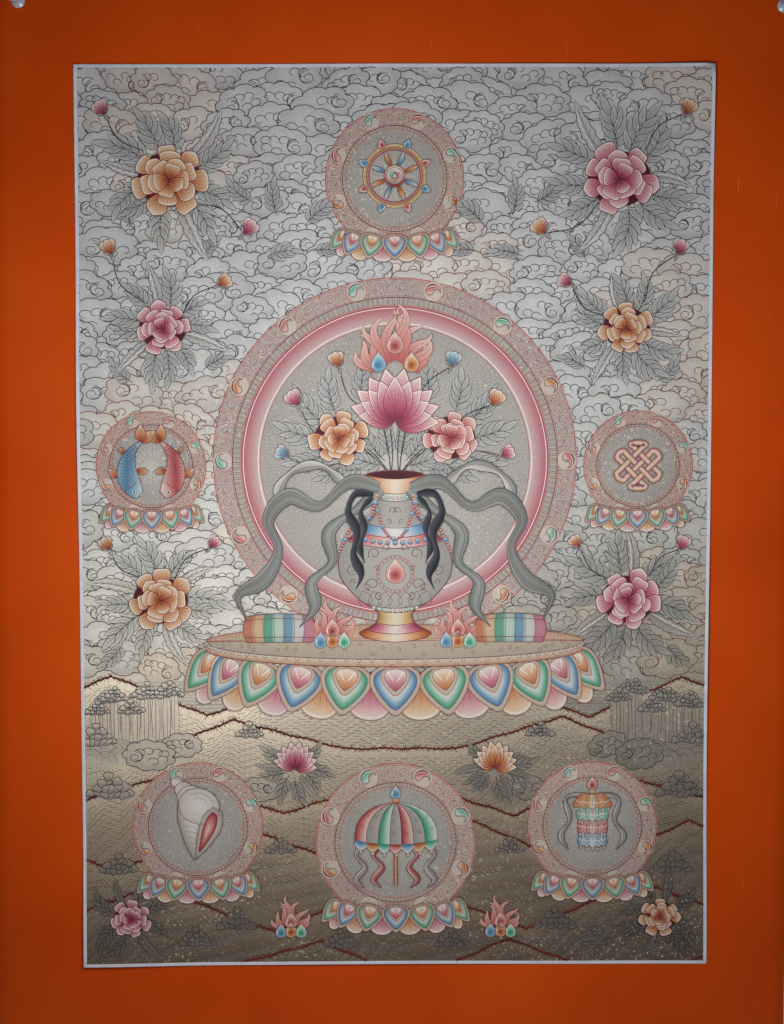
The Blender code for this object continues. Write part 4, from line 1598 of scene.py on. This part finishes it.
def altar():
    """The vase on its seat, what stands in it, the silk tied round it, and the offerings beside it."""
    for x, z, size, stops in ((0, 139, 16, ROSES), (-13, 124, 14, SKIES), (13, 124, 14, ORANGES)):
        jewel(x, z, size, stops, SYMBOLS + 0.2)
    flames(0, 128, 30, 15, SYMBOLS)
    for way in WAYS:
        for wide, stops, rise, folds, ends, route in SILKS:
            ribbon([(way * across, up) for across, up in route], wide, stops, SYMBOLS + rise, folds, ends)
        garland([(way * 14, 20), (way * 20, 4), (way * 34, -4), (way * 44, -24)])
    garland([(-15, 14), (-9, -6), (0, -14), (9, -6), (15, 14)])
    lotus_bloom(0, 80, 40, PINKS, SYMBOLS + 0.06)
    for way, stops in ((-1, ORANGES), (1, ROSES)):
        peony(way * 44, 66, 24, stops, way)
        bud(way * 76, 92, 13, QUARTER - way * 0.6, (PINKS, ORANGES)[way > 0], (way * 40, 60))
        bud(way * 44, 122, 12, QUARTER - way * 0.3, (ORANGES, SKIES)[way > 0], (way * 16, 84))
        bud(way * 84, 52, 11, QUARTER - way * 1.1, (SKIES, PINKS)[way > 0], (way * 44, 46))
    vase(0, -92)
    for way in WAYS:
        for side, up in ((4, 76), (30, 62), (22, 58), (12, 84)):
            stem = smooth_line([(way * 3, 36), (way * 0.5 * side, 0.5 * (36 + up)), (way * side, up)], 20)
            brush("soot", stem, 0.9, LEAVES, (0.9, 0.7))
        for across, up, angle, long in (
            (8, 44, 0.1, 34), (8, 48, 0.75, 34), (4, 50, 1.25, 34), (56, 66, 0.05, 44),
            (54, 76, 0.62, 42), (46, 84, 1.15, 40), (54, 54, -0.5, 38), (26, 92, 1.45, 38),
            (40, 46, -0.75, 30), (24, 42, -0.2, 28),
        ):
            turn = angle if way > 0 else pi - angle
            frond(way * across, up, turn, long, way * 0.4)
        offering(way * 50, -100, 15)
        cushion(way * 92, -96, 52, 21)
    throne(0, -95, 150)


def offering(x, z, size):
    """A heap of wish jewels with flames behind it."""
    for across, up, share, stops in (
        (0, 0.95, 0.9, ROSES), (-0.62, 0.3, 0.8, SKIES), (0.62, 0.3, 0.8, GREENS), (0, 0.35, 0.85, ORANGES),
    ):
        jewel(x + across * size, z + up * size, share * size, stops, SYMBOLS + 0.24)
    flames(x, z + 0.9 * size, 1.15 * size, 9, SYMBOLS - 0.02)


def signs():
    """The lucky signs in the roundels, each over a small lotus foot."""
    top, left, right, low, low_left, low_right = ROUNDELS
    wheel(top[0], top[1] + 2, 0.5 * top[2])
    for way, stops in ((-1, SKIES), (1, ROSES)):
        carry = spot(left[0] + way * 9, left[1] - 0.52 * left[2], 1.12 * left[2], way * 0.05, -way)
        fish(carry, stops)
    endless_knot(right[0], right[1], 0.175 * right[2])
    parasol(low[0], low[1] + 2, 0.6 * low[2])
    conch(low_left[0], low_left[1], 0.92 * low_left[2])
    banner(low_right[0], low_right[1] + 2, 0.62 * low_right[2])
    for x, z, radius in ROUNDELS:
        lotus_row(x, z - 0.72 * radius, 0.72 * radius, 0.26 * radius + 6, 7, FLOWERS + 0.05)


def foliage():
    """Sprays of leaves round the flower heads, and single compound leaves in the gaps."""
    for x, z, radius, _, turn in FLOWER_HEADS:
        leaf_spray(x, z, 0.62 * radius, 1.1 * radius + 10, 12 if radius > 20 else 8, TAU, turn)
    for way in WAYS:
        for x, z, heading, long in (
            (70, 232, 2.2, 34), (92, 240, 1.2, 32), (100, 208, 2.7, 30), (110, 250, 0.4, 30),
            (64, 212, 2.9, 26), (150, 120, 2.4, 26), (206, 110, 0.5, 28), (160, -98, 3.6, 28),
            (216, -96, 5.2, 30), (150, 205, 1.9, 26), (206, 232, 1.2, 26),
        ):
            frond(way * x, z, heading if way > 0 else pi - heading, long, way * 0.5)


def aureole(x, z):
    """The aureole: rays on a cream field, the pink ring, a ladder of rungs and the scroll ring."""
    colour_ring(x, z, 106, 121, ((0, "#DED0CC"), (0.35, "#D9B2B2"), (0.7, "#CF8A93"), (1, "#C06673")), BANDS)
    fine_rays(x, z, 14, 105, 232, 7)
    field(x, z, 121)
    ladder_ring(x, z, 121, 128, 2)
    scroll_ring(x, z, 128, 143, 14)
    board.claim(circle(143, count=200, centre=(x, z)), "#B3ABA6")


HILLS = (
    # level of each hill, its tone and its crest, from the nearest back
    (-336, 0.86, ((-300, -4), (-190, -36), (-60, -2), (14, -34), (90, 0), (180, -34), (300, 0))),
    (-296, 0.94, ((-300, -34), (-196, 4), (-96, -34), (0, 8), (104, -32), (196, 6), (300, -32))),
    (-252, 0.98, ((-300, 6), (-226, -28), (-128, 10), (-30, -28), (60, 12), (150, -26), (236, 12),
                  (300, -14))),
    (-212, 1, ((-300, -26), (-176, 12), (-90, -22), (0, 6), (96, -24), (170, 12), (300, -24))),
    (-172, 1.03, ((-300, 18), (-214, -20), (-130, 14), (-40, -10), (50, -10), (134, 16), (220, -18),
                  (300, 18))),
    (-138, 1.06, ((-300, -18), (-226, 16), (-150, -16), (-100, 0), (100, 0), (156, -18), (230, 14),
                  (300, -14))),
)


def landscape():
    """Lotuses and offerings on the water, rocks and cliffs at the sides, and hills up to the clouds."""
    for way in WAYS:
        lotus_bloom(way * 80, -196, 20, PINKS if way < 0 else ORANGES)
        leaf_spray(way * 80, -196, 8, 26, 9, 4.6, -QUARTER)
        offering(way * 84, -334, 13)
        for x, z, size in (
            (228, -214, 24), (222, -276, 20), (128, -322, 20), (44, -338, 17), (238, -172, 20),
            (116, -168, 14), (160, -336, 18), (92, -262, 15),
        ):
            rock(way * x, z, size)
        for x, z, radius in ((196, -186, 15), (170, -178, 12), (108, -214, 12)):
            cloud_head(way * x, z, radius, "soot")
        cliff(way * 208, -146, 70, 40, way)
    for level, tone, crest in HILLS:
        ridge_hill([(x, level + rise) for x, rise in crest], 62, tone)
    water(-HALF_H, -126)


# The pieces of the object

def spread(half, pitch, rim):
    """Even grid lines from -half to half, with a narrow row of cells along each edge for the rounded rim."""
    count = int(2 * (half - rim) / pitch) + 1
    return np.concatenate([[-half], np.linspace(rim - half, half - rim, count), [half]])


def mount_piece():
    """The mount sheet: a closed grid on the swells, its front edges eased and its corners square."""
    xs = spread(0.5 * SHEET_WIDTH, 0.012, 0.0006)
    zs = spread(0.5 * SHEET_HEIGHT, 0.012, 0.0006) + TOP_ABOVE_PINS - 0.5 * SHEET_HEIGHT
    x, z = np.meshgrid(xs, zs)
    back = sheet_back(x, z)
    ease = np.zeros_like(x)
    ease[[0, -1], :] = ease[:, [0, -1]] = 0.35
    front = np.stack([x, back - SHEET_THICKNESS * (1 - ease), z], -1)
    behind = np.stack([x, back - SHEET_THICKNESS * 0.5 * ease, z], -1)
    return closed_sheet("mount_card", front, behind, [coated_card()])


def canvas_piece(material):
    """The bare canvas: a closed grid on the mount, its corners rubbed to their radii and its edges eased."""
    us = spread(0.5 * CANVAS_WIDTH / MM, 8, 0.5)
    vs = spread(0.5 * CANVAS_HEIGHT / MM, 8, 0.5)
    across, up = np.meshgrid(us, vs)
    flat = pair(across, up)
    for place, radius in CORNER_ROUND.items():
        way = np.array([1 if "right" in place else -1, 1 if "top" in place else -1])
        centre = way * (us[-1] - radius / MM, vs[-1] - radius / MM)
        out = (flat - centre) * way
        beyond = (out > 0).all(-1)
        reach = np.hypot(out[..., 0], out[..., 1])
        scale = np.where(beyond & (reach > radius / MM), radius / MM / np.maximum(reach, 1e-9), 1)
        flat = centre + (flat - centre) * scale[..., None]
    ease = np.zeros_like(across)
    ease[[0, -1], :] = ease[:, [0, -1]] = 0.3
    front = lay(flat, -ease)
    behind = lay(flat, np.full_like(across, -CANVAS_THICKNESS / MM))
    return closed_sheet("canvas_cloth", front, behind, [material])


def soften(values, reach):
    """Each cell's mean over a square reach cells either way, one axis after the other."""
    for axis in (0, 1):
        padded = np.pad(values, [(reach, reach) if i == axis else (0, 0) for i in range(3)], mode="edge")
        count, span = values.shape[axis], 2 * reach + 1
        values = sum(np.take(padded, range(k, k + count), axis) for k in range(span)) / span
    return values


def ground_piece():
    """The painted ground: an open film inside the margin, with the board's washes as point colours."""
    us = np.linspace(-HALF_W, HALF_W, int(2 * HALF_W / FILM_PITCH) + 1)
    vs = np.linspace(-HALF_H, HALF_H, int(2 * HALF_H / FILM_PITCH) + 1)
    across, up = np.meshgrid(us, vs)
    flat = pair(across, up).reshape(-1, 2)
    column = np.clip(((flat[:, 0] + HALF_W) / CELL).astype(int), 0, len(board.xs) - 1)
    row = np.clip(((flat[:, 1] + HALF_H) / CELL).astype(int), 0, len(board.zs) - 1)
    faces = grid_faces(len(vs), len(us))
    tints = soften(board.wash, 1)[row, column]
    return piece("painted_ground", lay(flat, FILM), faces, [silver_ground()], canvas_uv(flat), tints)


def turned_piece(name, profile, place, material, steps=56):
    """A profile of radius and height turned round the pin's axis, its height out of the wall."""
    radius, height = np.array(profile).T
    angle = np.linspace(0, TAU, steps, endpoint=False)
    x = place[0] + radius[:, None] * np.cos(angle)
    z = place[1] + radius[:, None] * np.sin(angle)
    y = np.broadcast_to(-height[:, None], x.shape)
    rows = len(radius)
    index = np.arange(rows * steps).reshape(rows, steps)
    after = np.roll(index, -1, 1)
    faces = np.stack([index[:-1], after[:-1], after[1:], index[1:]], -1).reshape(-1, 4)
    obj = piece(name, np.stack([x, y, z], -1).reshape(-1, 3), faces, [material])
    weld = obj.modifiers.new("Poles", "WELD")
    weld.merge_threshold = 1e-6
    return obj


PIN_PLACES = {"left": (-0.2966, 0.0022), "right": (0.2989, 0.0051)}
HEAD_LENGTH = 0.014
GRIP_RADIUS = 0.0046
WAIST_RADIUS = 0.0023
FOOT_RADIUS = 0.0052
NEEDLE_RADIUS = 0.00055
NEEDLE_IN_HEAD = 0.007
NEEDLE_IN_WALL = 0.009
NEEDLE_TAPER = 0.003
CLEARANCE = 0.0003


def arc(centre_radius, centre_height, size, start, stop, count):
    """Points on a round edge of a turned profile, from one angle in degrees to another."""
    angle = np.radians(np.linspace(start, stop, count))
    return [(centre_radius + size * cos(a), centre_height + size * sin(a)) for a in angle]


def head_profile():
    """A push pin's head from the middle of its grip, over the rim, in to the waist and out to the foot."""
    foot = SHEET_THICKNESS + CLEARANCE
    top = foot + HEAD_LENGTH
    profile = [(0, top), (0.3 * GRIP_RADIUS, top - 0.00003), (0.6 * GRIP_RADIUS, top - 0.0001)]
    profile += arc(GRIP_RADIUS - 0.0007, top - 0.0009, 0.0007, 84, -70, 10)
    waist = smooth_line([(0.62 * GRIP_RADIUS, top - 0.0024), (WAIST_RADIUS + 0.0003, top - 0.004),
                         (WAIST_RADIUS, top - 0.0062), (WAIST_RADIUS + 0.0003, foot + 0.0028),
                         (0.75 * FOOT_RADIUS, foot + 0.0013)], 26)
    profile += [tuple(point) for point in waist]
    profile += arc(FOOT_RADIUS - 0.0004, foot + 0.0004, 0.0004, 70, -90, 7)
    bore = NEEDLE_RADIUS + CLEARANCE
    end = foot + NEEDLE_IN_HEAD + CLEARANCE
    return profile + [(bore, foot), (bore, end), (0, end)]


def needle_profile():
    """A needle from its blunt end in the head to its point in the wall."""
    top = SHEET_THICKNESS + CLEARANCE + NEEDLE_IN_HEAD
    taper = shares(8)
    tip = [(NEEDLE_RADIUS * sqrt(1 - t), NEEDLE_TAPER * (1 - t) - NEEDLE_IN_WALL) for t in taper]
    return [(0, top), (0.8 * NEEDLE_RADIUS, top), (NEEDLE_RADIUS, top - 0.0001)] + tip


def pin_plastic():
    """Polystyrene push pin head: injection moulded, white and glossy, with a faint shrink ripple."""
    plastic = Finish("moulded_polystyrene", Roughness=0.22, IOR=1.59)
    plastic.bump(plastic.noise(0.004, 1), 0.0001, 0.15)
    return plastic.coloured(plastic.ramp(plastic.noise(0.006, 2), (0.3, "#A9B4C9"), (0.7, "#BCC5D6")))


def pin_steel():
    """Nickel-plated spring steel, drawn and ground: bright, with fine lines along the needle."""
    steel = Finish("plated_needle_steel", Metallic=1, Roughness=0.24)
    lines = steel.noise(0.0006, 2, 0.5, (1, 0.08, 1))
    return steel.coloured(steel.ramp(lines, (0.3, "#B4B4B6"), (0.7, "#D8D8DA")))


# Each ink's dark and light tone
INKS = {
    "soot": ("#2F2C31", "#4A464D"),
    "grey": ("#68656A", "#868389"),
    "sepia": ("#5F332E", "#7F4A42"),
    "maroon": ("#5B1E2B", "#7A3440"),
    "red": ("#9A3F35", "#B45B4D"),
    "ridge": ("#4E1915", "#6E2A22"),
    "sand": ("#82776A", "#9B9083"),
    "straw": ("#8D7B55", "#B3A27A"),
    "white": ("#E4E1DC", "#F5F3EF"),
}


def build():
    """Paints the board, makes every piece, hangs each on the root body, hides the CAD part it stands in for
    and gives it its material.
    """
    compose()
    mount = mount_piece()
    cotton = primed_cotton()
    canvas = canvas_piece(cotton)
    pigments = pigment()
    paint = [ground_piece()]
    for kind in patches:
        paint.append(paint_piece(kind, pigments, atlas=kind != "band"))
    for name in sorted(strokes):
        paint.append(stroke_piece(name, ink(name + "_ink", *INKS[name])))
    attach(mount, "root")
    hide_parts("mount_sheet")
    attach(canvas, "root")
    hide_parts("painted_canvas")
    for film in paint:
        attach(film, "root")
    plastic, steel = pin_plastic(), pin_steel()
    for side, place in PIN_PLACES.items():
        head = turned_piece("push_pin_head_" + side, head_profile(), place, plastic)
        needle = turned_piece("push_pin_needle_" + side, needle_profile(), place, steel, 24)
        for made, node, slot in ((head, "pin_head_", "pin_plastic"), (needle, "pin_needle_", "pin_steel")):
            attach(made, "root")
            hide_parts(node + side)


# The room: a pale floor, a soft lamp before the painting and an even fill

FLOOR_DROP = 0.06
FLOOR_REACH = 3
LAMPS = (
    # name, place, aim, size and power: one before the painting, one behind the sheet for its back
    ("front_lamp", (-0.018, -0.48, -0.368), (-0.018, 0, -0.369), 0.3, 2.68),
    ("rear_lamp", (0.4, 1.15, 0.15), (0, 0, -0.45), 1, 9),
)
LAMP_COLOUR = (1, 0.985, 0.965)
FILL_COLOUR = (0.82, 0.87, 1, 1)
FILL_STRENGTH = 0.075
CAMERA_PLACE = (-0.0071, -0.9518, -0.3494)
CAMERA_AIM = (-0.0026, -0.005, -0.3919)
CAMERA_ROLL = radians(0.546)
LENS_PIXELS = 1200
FRAME_HEIGHT_PIXELS = 1024
FILM_SIZE_MM = 36


def axes_towards(place, aim, roll=0):
    """Right, up and back of something at place that looks at aim, turned about its own line of sight."""
    ahead = unit(np.subtract(aim, place))
    right = unit(np.cross(ahead, (0, 0, 1)))
    up = np.cross(right, ahead)
    c, s = cos(roll), sin(roll)
    return c * right + s * up, c * up - s * right, -ahead


def set_pose(obj, place, axes):
    """Puts an object at a place, with its own axes along these."""
    pose = np.eye(4)
    pose[:3, 0], pose[:3, 1], pose[:3, 2] = axes
    pose[:3, 3] = place
    obj.matrix_world = Matrix(pose.tolist())


def room():
    """The floor, the lamps, the fill and the camera."""
    lowest = CAD_BOX[0][2]
    corners = FLOOR_REACH * np.array([[-1, -1, 0], [1, -1, 0], [1, 1, 0], [-1, 1, 0]])
    paint = Finish("pale_floor_paint", Roughness=0.7)
    material = paint.coloured(paint.ramp(paint.noise(0.02), (0.3, "#D9D7D2"), (0.7, "#E0DEDA")))
    corners = corners + (0, 0, lowest - FLOOR_DROP)
    piece("floor", corners, np.array([[0, 1, 2, 3]]), [material], smooth=False)
    for name, place, aim, size, power in LAMPS:
        lamp_data = bpy.data.lights.new(name, "AREA")
        lamp_data.shape = "DISK"
        lamp_data.size = size
        lamp_data.energy = power
        lamp_data.color = LAMP_COLOUR
        lamp = bpy.data.objects.new(name, lamp_data)
        bpy.context.scene.collection.objects.link(lamp)
        lamp.visible_camera = False
        set_pose(lamp, place, axes_towards(place, aim))
    world = bpy.data.worlds.new("fill")
    world.use_nodes = True
    sky = world.node_tree.nodes["Background"]
    sky.inputs["Color"].default_value = FILL_COLOUR
    sky.inputs["Strength"].default_value = FILL_STRENGTH
    bpy.context.scene.world = world
    bpy.context.scene.view_settings.view_transform = "Standard"
    data = bpy.data.cameras.new("camera")
    data.lens = FILM_SIZE_MM * LENS_PIXELS / FRAME_HEIGHT_PIXELS
    data.sensor_width = FILM_SIZE_MM
    data.clip_start = 0.01
    camera = bpy.data.objects.new("camera", data)
    bpy.context.scene.collection.objects.link(camera)
    set_pose(camera, CAMERA_PLACE, axes_towards(CAMERA_PLACE, CAMERA_AIM, CAMERA_ROLL))
    bpy.context.scene.camera = camera


build()
room()
